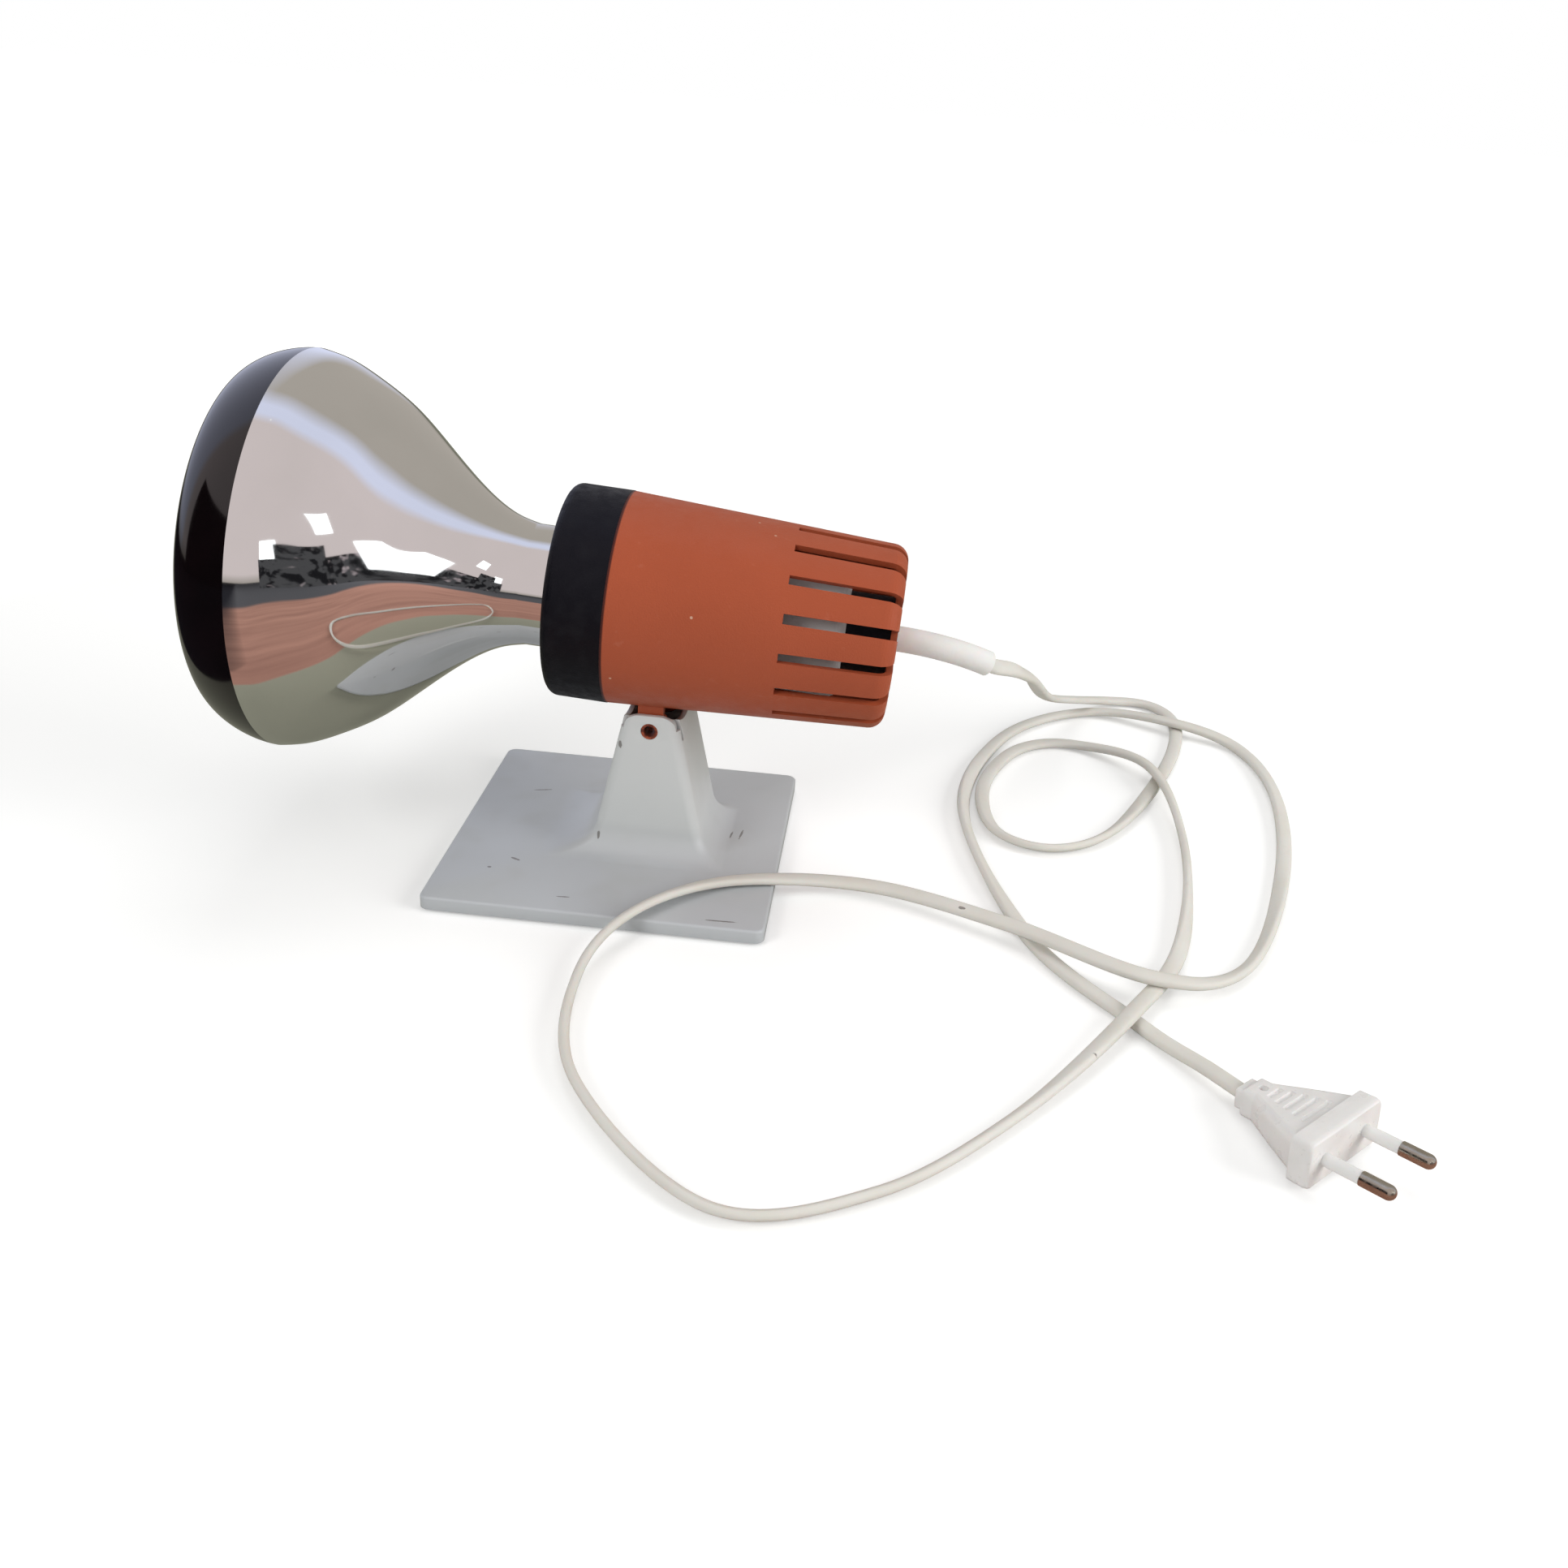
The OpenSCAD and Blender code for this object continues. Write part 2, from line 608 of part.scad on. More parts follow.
// Solder pip on the end of the cap
module cap_contact() {
    color([0.7, 0.7, 0.72]) turned([[0, cap_end + insulator_h], [pip_r, cap_end + insulator_h],
        [pip_r - 0.8, pip_end], [0, pip_end]]);
}

// Front sleeve of the lampholder
module holder_sleeve() {
    color([0.82, 0.82, 0.8]) tube(holder_r, holder_in, holder_start, holder_split);
}

// Rear cap of the lampholder, with a thread inside the sleeve
module holder_cap() {
    spigot = holder_in - 0.1;
    inner = spigot - 1.9;
    color([0.78, 0.78, 0.76]) turned(concat(
        [[inner, holder_split - 5], [spigot, holder_split - 5], [spigot, holder_split],
         [holder_r, holder_split]],
        arc(holder_r - 3, holder_end - 3, 3, 0, 90, 5),
        [[nipple_r + 0.05, holder_end], [nipple_r + 0.05, cap_floor], [inner, cap_floor]]));
}

// Porcelain insert that carries the contacts
module holder_insert() {
    insert_r = holder_in - 2.1;
    color([0.9, 0.9, 0.87]) difference() {
        tube(insert_r, 0, insert_front, insert_rear);
        on_head() translate([0, 0, insert_front - eps]) cylinder(r = 1.25, h = insert_t + 2 * eps, $fn = 24);
    }
}

// Threaded shell that takes the screw cap
module thread_shell() {
    color([0.72, 0.6, 0.35]) tube(shell_out, shell_in, cap_start + 3, insert_front);
}

// Spring tongue that touches the lamp's contact, riveted through the insert
module centre_contact() {
    tongue_t = insert_front - pip_end - 0.3;
    color([0.75, 0.62, 0.3]) on_head() union() {
        translate([-3, -5, insert_front - tongue_t]) cube([6, 10, tongue_t]);
        translate([0, 0, insert_front - 0.1]) cylinder(r = 1.2, h = insert_t + 0.1, $fn = 24);
    }
}

// Two terminal blocks on the insert
module terminals() {
    color([0.72, 0.6, 0.35]) on_head() for (s = [-1, 1]) difference() {
        translate([-terminal_w / 2, s * terminal_x - terminal_w / 2, insert_rear])
            cube([terminal_w, terminal_w, terminal_w - 1]);
        translate([-terminal_w / 2 - eps, s * terminal_x, insert_rear + 2.5]) rotate([0, 90, 0])
            cylinder(r = terminal_screw_r, h = terminal_w / 2, $fn = 24);
    }
}

// Screws that clamp the wires in the terminals
module terminal_screws() {
    color([0.7, 0.7, 0.7]) on_head() for (s = [-1, 1])
        translate([-terminal_w / 2 - 1.5, s * terminal_x, insert_rear + 2.5]) rotate([0, 90, 0]) union() {
            cylinder(r = terminal_screw_r - 0.05, h = 1.5 + terminal_w / 2 - 0.5, $fn = 24);
            cylinder(r = terminal_screw_r + 0.7, h = 1.4, $fn = 24);
        }
}

// Hollow threaded nipple that joins the holder to the housing's rear wall
module nipple() {
    color([0.75, 0.75, 0.7]) tube(nipple_r, nipple_r - nipple_wall, nipple_from, housing_len);
}

// Two hexagon nuts on the nipple
module nipple_nuts() {
    color([0.75, 0.75, 0.7]) on_head() for (at = [holder_end, wall_front - nut_h]) translate([0, 0, at])
        difference() {
            cylinder(r = nut_af / 2 / cos(30), h = nut_h, $fn = 6);
            translate([0, 0, -eps]) cylinder(r = nipple_r + 0.05, h = nut_h + 2 * eps);
        }
}

// Spacer tube that keeps the holder away from the housing's rear wall
module spacer_tube() {
    color([0.07, 0.07, 0.07]) tube(spacer_r, spacer_r - spacer_wall, holder_end, wall_front);
}

// Path of the sleeve: straight in the nipple, then an arc
module along_sleeve(from, bend) {
    on_head() rotate([0, 0, sleeve_turn]) {
        translate([0, 0, from]) linear_extrude(housing_len - from) children();
        translate([sleeve_bend_r, 0, housing_len]) rotate([90, 0, 180])
            rotate_extrude(angle = bend, $fn = 180) translate([sleeve_bend_r, 0]) children();
    }
}

// Soft sleeve that keeps the cord from kinking
module bend_sleeve() {
    color([0.93, 0.93, 0.92]) along_sleeve(cap_floor + sleeve_gap, sleeve_bend) difference() {
        circle(sleeve_r, $fn = 48);
        circle(sleeve_r - sleeve_wall, $fn = 48);
    }
}

// Section of the flat cord
module cord_section() {
    square([cord_t, cord_w - cord_t], center = true);
    for (s = [-1, 1]) translate([0, s * (cord_w - cord_t) / 2]) circle(cord_t / 2, $fn = 24);
}

// Cord inside the head, up to its short free end beyond the sleeve
module inner_cord() {
    stub_bend = stub_len / sleeve_bend_r * 180 / PI;
    color([0.93, 0.93, 0.92]) along_sleeve(nipple_from, sleeve_bend + stub_bend) cord_section();
}

// One insulated wire from the end of the cord to its terminal
module core_wire(s) {
    from = [0, s * core_r * 1.2, nipple_from - core_r];
    to = [0, s * (terminal_x - terminal_w / 2 - core_r * 0.6), insert_rear + terminal_w / 2];
    run = to - from;
    on_head() translate(from) rotate([-atan2(run[1], run[2]), 0, 0])
        cylinder(r = core_r, h = norm(run), $fn = 24);
}

module live_core() { color([0.45, 0.25, 0.12]) core_wire(1); }

module neutral_core() { color([0.15, 0.3, 0.6]) core_wire(-1); }

// Point of a smooth line through four route points, between the middle two, never below the table
function between(a, b, c, d, t) =
    let (p = 0.5 * ((2 * b) + (c - a) * t + (2 * a - 5 * b + 4 * c - d) * t * t
        + (3 * b - a - 3 * c + d) * t * t * t))
    [p[0], p[1], max(p[2], lie_h)];

// Free cord: a flat section swept along the route
module cord() {
    pts = concat(route, [plug_tail]);
    last = len(pts) - 1;
    line = concat(
        [for (i = [0:last - 1], k = [0:cord_steps - 1])
            between(pts[max(i - 1, 0)], pts[i], pts[i + 1], pts[min(i + 2, last)], k / cord_steps)],
        [pts[last]]);
    n = len(line);
    points = [for (i = [0:n - 1])
        let (t = unit(line[min(i + 1, n - 1)] - line[max(i - 1, 0)]),
             side = unit(cross([0, 0, 1], t)),
             up = cross(t, side))
        each [for (k = [0:cord_sides - 1]) let (a = 360 / cord_sides * (k + 0.5))
            line[i] + side * cos(a) * cord_w / 2 + up * sin(a) * cord_t / 2]];
    color([0.93, 0.93, 0.92]) polyhedron(
        points = points,
        faces = concat(
            [[for (k = [0:cord_sides - 1]) k]],
            [for (i = [0:n - 2], k = [0:cord_sides - 1])
                let (k2 = (k + 1) % cord_sides, a = i * cord_sides, b = a + cord_sides)
                each [[a + k, b + k, b + k2], [a + k, b + k2, a + k2]]],
            [[for (k = [cord_sides - 1:-1:0]) (n - 1) * cord_sides + k]]),
        convexity = 20);
}

// Flat two-pin plug: its plan and its side outline cut from one block
module plug_body() {
    rim_x = plug_len - plug_rim_len;
    tail = 6;
    color([0.9, 0.9, 0.89]) on_plug() difference() {
        intersection() {
            translate([0, 0, -plug_t / 2]) linear_extrude(plug_t) polygon([
                [0, -plug_tail_w / 2], [tail, -plug_tail_w / 2], [rim_x, -plug_body_w / 2],
                [rim_x, -plug_w / 2], [plug_len, -plug_w / 2], [plug_len, plug_w / 2],
                [rim_x, plug_w / 2], [rim_x, plug_body_w / 2], [tail, plug_tail_w / 2],
                [0, plug_tail_w / 2]]);
            translate([0, plug_w / 2, 0]) rotate([90, 0, 0]) linear_extrude(plug_w) polygon([
                [0, -plug_tail_t / 2], [rim_x, -plug_t / 2 + 1.2], [rim_x, -plug_t / 2],
                [plug_len, -plug_t / 2], [plug_len, plug_t / 2], [rim_x, plug_t / 2],
                [rim_x, plug_t / 2 - 1.2], [0, plug_tail_t / 2]]);
        }
        for (s = [-1, 1]) translate([plug_len - pin_root, s * pin_pitch / 2, 0]) rotate([0, 90, 0])
            cylinder(r = pin_core_r, h = pin_root + 1, $fn = 48);
    }
}

// Two pins, full size in front of their insulation
module plug_pins() {
    color([0.75, 0.74, 0.7]) on_plug() for (s = [-1, 1])
        translate([plug_len, s * pin_pitch / 2, 0]) rotate([0, 90, 0]) union() {
            translate([0, 0, -pin_root])
                cylinder(r = pin_core_r, h = pin_root + pin_sleeve_len + 1, $fn = 48);
            translate([0, 0, pin_sleeve_len])
                cylinder(r = pin_r, h = pin_len - pin_sleeve_len - pin_r, $fn = 48);
            translate([0, 0, pin_len - pin_r]) intersection() {
                sphere(pin_r, $fn = 48);
                cylinder(r = pin_r + 1, h = pin_r + 1, $fn = 48);
            }
        }
}

// Insulating sleeves on the pins
module pin_sleeves() {
    color([0.92, 0.92, 0.9]) on_plug() for (s = [-1, 1])
        translate([plug_len, s * pin_pitch / 2, 0]) rotate([0, 90, 0]) difference() {
            cylinder(r = pin_sleeve_r, h = pin_sleeve_len, $fn = 48);
            translate([0, 0, -eps]) cylinder(r = pin_core_r, h = pin_sleeve_len + 2 * eps, $fn = 48);
        }
}

stand();
ballast_plate();
felt_sheet();
housing();
collar_ring();
lamp_reflector();
lamp_front_glass();
lamp_stem();
filament();
filament_leads();
lamp_screw_cap();
cap_insulator();
cap_contact();
holder_sleeve();
holder_cap();
holder_insert();
thread_shell();
centre_contact();
terminals();
terminal_screws();
nipple();
nipple_nuts();
spacer_tube();
bend_sleeve();
inner_cord();
live_core();
neutral_core();
cord();
plug_body();
plug_pins();
pin_sleeves();
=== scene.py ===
import json
from math import radians

import bmesh
import bpy
import numpy as np
from mathutils import Matrix

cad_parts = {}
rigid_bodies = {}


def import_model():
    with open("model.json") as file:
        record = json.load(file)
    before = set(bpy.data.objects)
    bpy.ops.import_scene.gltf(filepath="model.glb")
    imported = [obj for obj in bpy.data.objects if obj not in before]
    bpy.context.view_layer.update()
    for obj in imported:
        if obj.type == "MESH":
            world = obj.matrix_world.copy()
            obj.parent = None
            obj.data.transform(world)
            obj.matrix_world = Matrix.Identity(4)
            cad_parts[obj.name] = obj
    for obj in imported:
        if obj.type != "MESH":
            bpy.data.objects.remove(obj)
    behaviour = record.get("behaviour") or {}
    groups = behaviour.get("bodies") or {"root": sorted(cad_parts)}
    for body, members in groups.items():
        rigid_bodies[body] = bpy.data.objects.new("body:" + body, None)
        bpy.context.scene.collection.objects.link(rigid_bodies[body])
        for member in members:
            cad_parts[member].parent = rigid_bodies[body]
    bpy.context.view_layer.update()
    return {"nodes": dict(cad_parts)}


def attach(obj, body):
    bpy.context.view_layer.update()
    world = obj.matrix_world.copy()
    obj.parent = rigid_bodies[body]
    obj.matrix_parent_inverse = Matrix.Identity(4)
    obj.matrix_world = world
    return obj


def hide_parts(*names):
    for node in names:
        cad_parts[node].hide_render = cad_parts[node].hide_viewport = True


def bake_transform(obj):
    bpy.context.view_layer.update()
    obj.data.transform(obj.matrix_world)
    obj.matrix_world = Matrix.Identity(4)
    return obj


for leftover in list(bpy.data.objects):
    bpy.data.objects.remove(leftover)
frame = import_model()
nodes = frame["nodes"]
scene = bpy.context.scene

# Camera. It stands in front of the spotlight and a little towards the cord, and looks
# down on it. Its place and lens were fitted to the outlines of the plate, collar, housing
# and lamp.
eye = np.array([0.08269, -0.42804, 0.24847])
sight = np.array([-0.06083, 0.88788, -0.45603])
sight /= np.linalg.norm(sight)
rightward = np.cross(sight, [-0.0976, 0.4494, 0.88799])
rightward /= np.linalg.norm(rightward)
upward = np.cross(rightward, sight)
lens = bpy.data.cameras.new("camera")
lens.sensor_width = 36
lens.lens = 33.54
lens.clip_start = 0.02
camera = bpy.data.objects.new("camera", lens)
scene.collection.objects.link(camera)
axes = np.eye(4)
axes[:3, :3] = np.stack([rightward, upward, -sight], 1)
axes[:3, 3] = eye
camera.matrix_world = Matrix(axes.tolist())
scene.camera = camera
scene.view_settings.view_transform = "Standard"

# Cord. A flat two-core flex in soft white PVC, extruded in one length. It comes out of
# the bend sleeve, falls to the table behind the head, loops there, climbs over the
# plate's front corner, crosses itself and ends in the moulded plug.
CORD_W, CORD_T, CORD_LENGTH, CORD_STEP = 0.00525, 0.00295, 1.74, 0.002
# LIE is the least height of the route, and over TWIST_OUT the cord turns to lie flat.
LIE, TWIST_OUT = 0.00145, 0.09
SLEEVE_BEND_R, SLEEVE_SIDE, WALL_AT = 0.06, radians(43), 0.0868
# Roll of the cord on the table: metres from the head, degrees from lying on its broad side.
rolls = np.array([
    [0.30, 0], [0.34, 45], [0.372, 32], [0.396, 25], [0.43, 0], [0.515, 0], [0.56, -60],
    [0.6, -76], [0.63, -58], [0.668, 0], [0.7, 5], [0.76, 48], [0.82, 46], [0.85, 38],
    [0.88, 55], [0.91, 68], [0.94, 90], [0.96, 114], [0.98, 135], [1.04, 180], [1.08, 194],
    [1.16, 194], [1.18, 185], [1.21, 136], [1.23, 130], [1.28, 180], [1.34, 205], [1.382, 172],
    [1.42, 180], [1.5, 190], [1.57, 130], [1.605, 138], [1.64, 176], [1.655, 180]
])
# Middle of the cord in millimetres. A height of 0 means that it lies on the table.
route = np.array([
    [118, 7, 74], [129, 20, 67.5], [137, 58, 47.5], [147, 100, 26], [167, 147, 6.5], [185, 161, 0],
    [200, 157, 0], [205, 136, 0], [195, 96, 0], [170, 41, 0], [147, 23, 0],
    [127, 33, 0], [124, 68, 0], [138, 102, 0], [161, 112, 0], [187, 91, 5.4],
    [194, 40, 0], [184, -30, 0], [162, -77, 4.85], [128, -124, 0], [93, -158, 0],
    [53, -169, 0], [12, -128, 0], [3, -83, 2.2], [14, -54, 7.4], [42, -30, 7.8],
    [85, -18, 3.5], [129, -35, 4.85], [171, -60, 7.2], [203, -40, 0], [226, 23, 0],
    [235, 82, 0], [228, 123, 0], [203, 136, 4.85], [169, 146, 0], [133, 113, 0],
    [116, 46, 0], [135, -34, 0], [166, -77, 0], [181, -95, 3]
]) / 1000
route[:, 2] = np.maximum(route[:, 2], LIE)
head_turn = radians(93.5)
head_axes = np.array([[np.cos(head_turn), 0, np.sin(head_turn)], [0, 1, 0],
                      [-np.sin(head_turn), 0, np.cos(head_turn)]])
head_start = np.array([-0.0014, 0, 0.0885])
plug_turn, plug_rise = radians(-45), radians(6.3)
turn_cos, turn_sin = np.cos(plug_turn), np.sin(plug_turn)
rise_cos, rise_sin = np.cos(plug_rise), np.sin(plug_rise)
plug_axes = np.array([[turn_cos * rise_cos, -turn_sin, -turn_cos * rise_sin],
                      [turn_sin * rise_cos, turn_cos, -turn_sin * rise_sin],
                      [rise_sin, 0, rise_cos]])
plug_start = np.array([0.189, -0.106, 0.004275])


def on_head(points):
    """Points of the head's own frame, whose third axis runs from the collar joint to the cord,
    placed in the row frame."""
    return head_start + points @ head_axes.T


def on_plug(points):
    """Points of the plug's own frame, whose first axis runs from its tail to its pins, placed
    in the row frame."""
    return plug_start + points @ plug_axes.T


def sleeve_line(angle):
    """Middle line of the bend sleeve: an arc that starts at the housing's rear wall and bends
    away from the head's axis to one side."""
    away = SLEEVE_BEND_R * (1 - np.cos(angle))
    return on_head(np.stack([away * np.cos(SLEEVE_SIDE), away * np.sin(SLEEVE_SIDE),
                             WALL_AT + SLEEVE_BEND_R * np.sin(angle)], -1))


def smooth_line(points, steps):
    """On each stretch between two points the cubic whose slope at each end is half the chord
    between that point's neighbours."""
    before = np.vstack([points[:1], points[:-2]])
    after = np.vstack([points[2:], points[-1:]])
    a, b = points[:-1, None], points[1:, None]
    t = (np.arange(steps) / steps)[None, :, None]
    slope_a, slope_b = (b - before[:, None]) / 2, (after[:, None] - a) / 2
    cubic = (a * (2 * t**3 - 3 * t**2 + 1) + slope_a * (t**3 - 2 * t**2 + t)
             + b * (3 * t**2 - 2 * t**3) + slope_b * (t**3 - t**2))
    return np.vstack([cubic.reshape(-1, 3), points[-1:]])


def even_line(points, gap):
    """The same line with points an equal distance apart."""
    along = np.r_[0, np.cumsum(np.linalg.norm(np.diff(points, axis=0), axis=1))]
    places = np.linspace(0, along[-1], int(along[-1] / gap) + 1)
    return np.stack([np.interp(places, along, points[:, k]) for k in range(3)], 1), places


def unit(vectors):
    """Vectors of length one."""
    return vectors / np.linalg.norm(vectors, axis=-1, keepdims=True)


def averaged(values, count, **ends):
    """Running average of each column over an odd count of rows, after the ends are extended."""
    columns = values.reshape(len(values), -1)
    columns = np.pad(columns, ((count // 2, count // 2), (0, 0)), **ends)
    kernel = np.ones(count) / count
    smooth = [np.convolve(column, kernel, "valid") for column in columns.T]
    return np.stack(smooth, 1).reshape(values.shape)


def part_way(values, start, end):
    """0 up to the start, 1 from the end on and even between them."""
    return np.clip((values - start) / (end - start), 0, 1)


def skin(name, grid, around=True, loop=False, ends=False, sharp=35):
    """Mesh of four-sided faces over points [row, column]. Columns go round when around is set,
    rows when loop is; ends closes the first and last row with one face each. The map holds
    turns and metres along the rows."""
    rows, columns = grid.shape[:2]
    i, j = np.meshgrid(np.arange(rows if loop else rows - 1),
                       np.arange(columns if around else columns - 1), indexing="ij")
    i2, j2 = (i + 1) % rows, (j + 1) % columns
    quads = np.stack([i * columns + j, i * columns + j2, i2 * columns + j2, i2 * columns + j], -1)
    faces = quads.reshape(-1, 4).tolist()
    if ends:
        faces += [list(range(columns))[::-1], list(range((rows - 1) * columns, rows * columns))]
    mesh = bpy.data.meshes.new(name)
    mesh.from_pydata(grid.reshape(-1, 3).tolist(), [], faces)
    length = np.r_[0, np.cumsum(np.linalg.norm(np.diff(grid.mean(1), axis=0), axis=1))]
    corners = np.zeros((len(mesh.loops), 2))
    corners[:quads.size, 0] = (np.stack([j, j + 1, j + 1, j], -1) / columns).ravel()
    corners[:quads.size, 1] = length[np.stack([i, i, i2, i2], -1)].ravel()
    mesh.uv_layers.new(name="UVMap").data.foreach_set("uv", corners.ravel())
    return piece_of(name, mesh, sharp)


def piece_of(name, mesh, sharp):
    """Object at the origin with that mesh. Its doubled points are joined, and its faces are
    smooth where they meet at less than an angle in degrees."""
    mesh.validate()
    work = bmesh.new()
    work.from_mesh(mesh)
    bmesh.ops.remove_doubles(work, verts=work.verts, dist=1e-6)
    work.to_mesh(mesh)
    work.free()
    mesh.polygons.foreach_set("use_smooth", np.ones(len(mesh.polygons), bool))
    mesh.set_sharp_from_angle(angle=radians(sharp))
    made = bpy.data.objects.new(name, mesh)
    scene.collection.objects.link(made)
    return made


class Finish:
    """A Principled material that is built up in layers: mottling, spots and grain."""

    def __init__(self, name, colour, roughness, **sockets):
        """Even material; the settings are inputs of its shader, with _ for a space."""
        self.material = bpy.data.materials.new(name)
        self.material.use_nodes = True
        self.tree = self.material.node_tree
        self.shader = self.tree.nodes["Principled BSDF"]
        self.shader.inputs["Base Color"].default_value = (*colour, 1)
        self.shader.inputs["Roughness"].default_value = roughness
        for socket, value in sockets.items():
            self.shader.inputs[socket.replace("_", " ")].default_value = value
        self.place = self.tree.nodes.new("ShaderNodeTexCoord").outputs["Object"]
        self.colour, self.height = None, None

    def add(self, kind, **settings):
        """New node with its settings; a setting that names an input goes to that input."""
        node = self.tree.nodes.new("ShaderNode" + kind)
        for key, value in settings.items():
            if key in node.inputs:
                node.inputs[key].default_value = value
            else:
                setattr(node, key, value)
        return node

    def link(self, source, target):
        """Joins an output to an input."""
        self.tree.links.new(source, target)

    def stretched(self, scale):
        """The coordinates, scaled by three numbers."""
        mapping = self.add("Mapping", Scale=scale)
        self.link(self.place, mapping.inputs["Vector"])
        return mapping.outputs[0]

    def noise(self, size, low=0.35, high=0.65, detail=4, place=None):
        """Noise with features of that size in metres, raised from 0 at low to 1 at high."""
        noise = self.add("TexNoise", Scale=1 / size, Detail=detail)
        self.link(place or self.place, noise.inputs["Vector"])
        return self.reached(noise.outputs["Fac"], low, high)

    def spot(self, at, size, turn=0.0):
        """Mark with an uneven edge round a point, of that size along three axes; both are in
        millimetres, and the axes are turned by some degrees about the upright one."""
        local = self.add("Mapping", vector_type="TEXTURE", Location=[k / 1000 for k in at],
                         Rotation=(0, 0, radians(turn)), Scale=[k / 2000 for k in size])
        self.link(self.place, local.inputs["Vector"])
        away = self.add("VectorMath", operation="LENGTH")
        self.link(local.outputs[0], away.inputs[0])
        uneven = self.add("Math", operation="ADD")
        self.link(self.noise(0.0011, 0, 1, 3), uneven.inputs[0])
        self.link(away.outputs["Value"], uneven.inputs[1])
        return self.reached(uneven.outputs[0], 1.5, 1.35)

    def reached(self, source, start, end):
        """From 0 where a value is at its start to 1 where it is at its end."""
        ramp = self.add("MapRange", **{"From Min": start, "From Max": end})
        self.link(source, ramp.inputs["Value"])
        return ramp.outputs["Result"]

    def axis(self, name):
        """One of the three coordinates by its letter."""
        apart = self.add("SeparateXYZ")
        self.link(self.place, apart.inputs[0])
        return apart.outputs[name]

    def times(self, value, factor):
        """An output times a number or times another output."""
        node = self.add("Math", operation="MULTIPLY")
        self.link(value, node.inputs[0])
        if isinstance(factor, (int, float)):
            node.inputs[1].default_value = factor
        else:
            self.link(factor, node.inputs[1])
        return node.outputs[0]

    def tint(self, mask, colour, share=1.0):
        """Lays a colour over what is there, as far as the mask says."""
        mix = self.add("Mix", data_type="RGBA")
        self.link(self.times(mask, share), mix.inputs["Factor"])
        if self.colour is None:
            mix.inputs[6].default_value = self.shader.inputs["Base Color"].default_value
        else:
            self.link(self.colour, mix.inputs[6])
        mix.inputs[7].default_value = (*colour, 1)
        self.colour = mix.outputs[2]
        self.link(self.colour, self.shader.inputs["Base Color"])

    def rough(self, mask, low, high):
        """Roughness from low to high as the mask goes from 0 to 1."""
        spread = self.add("MapRange", **{"To Min": low, "To Max": high})
        self.link(mask, spread.inputs["Value"])
        self.link(spread.outputs["Result"], self.shader.inputs["Roughness"])

    def relief(self, mask, depth, strength=1.0):
        """Bumps of that depth in metres where the mask is 1, on top of earlier ones."""
        bump = self.add("Bump", Distance=depth, Strength=strength)
        self.link(mask, bump.inputs["Height"])
        if self.height is not None:
            self.link(self.height, bump.inputs["Normal"])
        self.height = bump.outputs["Normal"]
        self.link(self.height, self.shader.inputs["Normal"])


def dress(name, finish):
    """Gives a piece or a CAD node its material."""
    mesh = (nodes.get(name) or bpy.data.objects[name]).data
    mesh.materials.clear()
    mesh.materials.append(finish.material)


# The line starts inside the sleeve and ends inside the plug. It is settled on the table,
# eased in its first fall and lifted where the cord lies on its narrow side.
inside = sleeve_line(np.radians([25.5, 27.5, 29.5, 31.5]))
plug_inside = on_plug(np.array([[0, 0, 0], [0.0035, 0, 0]]))
smooth_route = smooth_line(np.vstack([inside, route, plug_inside]), 24)
cord_line, cord_at = even_line(smooth_route, CORD_STEP)
cord_line[:, 2] = np.maximum(cord_line[:, 2], CORD_T / 2)
free = (part_way(cord_at, 0.02, 0.04)
        * part_way(cord_at, cord_at[-1] - 0.01, cord_at[-1] - 0.02))
cord_line[:, 2] += (averaged(cord_line[:, 2], 7, mode="edge") - cord_line[:, 2]) * free
near_head = part_way(cord_at, 0.01, 0.03) * part_way(cord_at, 0.13, 0.09)
cord_line += (averaged(cord_line, 21, mode="edge") - cord_line) * near_head[:, None]
roll = averaged(np.radians(np.interp(cord_at, *rolls.T)), 13, mode="edge")
cord_line[:, 2] += (CORD_W - CORD_T) / 2 * np.abs(np.sin(roll))
ahead = unit(np.gradient(cord_line, axis=0))
side = unit(np.cross([0, 0, 1], ahead))
over = np.cross(ahead, side)
in_sleeve = head_axes @ [-np.sin(SLEEVE_SIDE), np.cos(SLEEVE_SIDE), 0]
first_twist = np.arctan2(in_sleeve @ over[0], in_sleeve @ side[0])
fade = part_way(cord_at, 0, TWIST_OUT)
twist = (first_twist * (1 - fade**2 * (3 - 2 * fade)) + roll)[:, None]
wide = side * np.cos(twist) + over * np.sin(twist)
thin = np.cross(ahead, wide)
round_cord = np.linspace(0, 2 * np.pi, 24, endpoint=False)
# Its section is the circle of its edge, carried out to both sides by a clipped wave.
flat_half = ((CORD_W - CORD_T) / 2 * np.clip(1.5 * np.cos(round_cord), -1, 1)
             + CORD_T / 2 * np.cos(round_cord))
thin_half = CORD_T / 2 * np.sin(round_cord) * (1 - 0.05 * np.cos(round_cord) ** 8)
cord_grid = (cord_line[:, None] + wide[:, None] * flat_half[None, :, None]
             + thin[:, None] * thin_half[None, :, None])
cord = skin("flex", cord_grid, ends=True, sharp=60)
pvc = Finish("white_flex", (0.71, 0.69, 0.64), 0.42, Subsurface_Weight=0.12,
             Subsurface_Scale=0.001, Specular_IOR_Level=0.45)
pvc.tint(pvc.noise(0.03, 0.4, 0.75), (0.60, 0.57, 0.49), 0.5)
pvc.tint(pvc.noise(0.004, 0.62, 0.8), (0.60, 0.57, 0.50), 0.35)
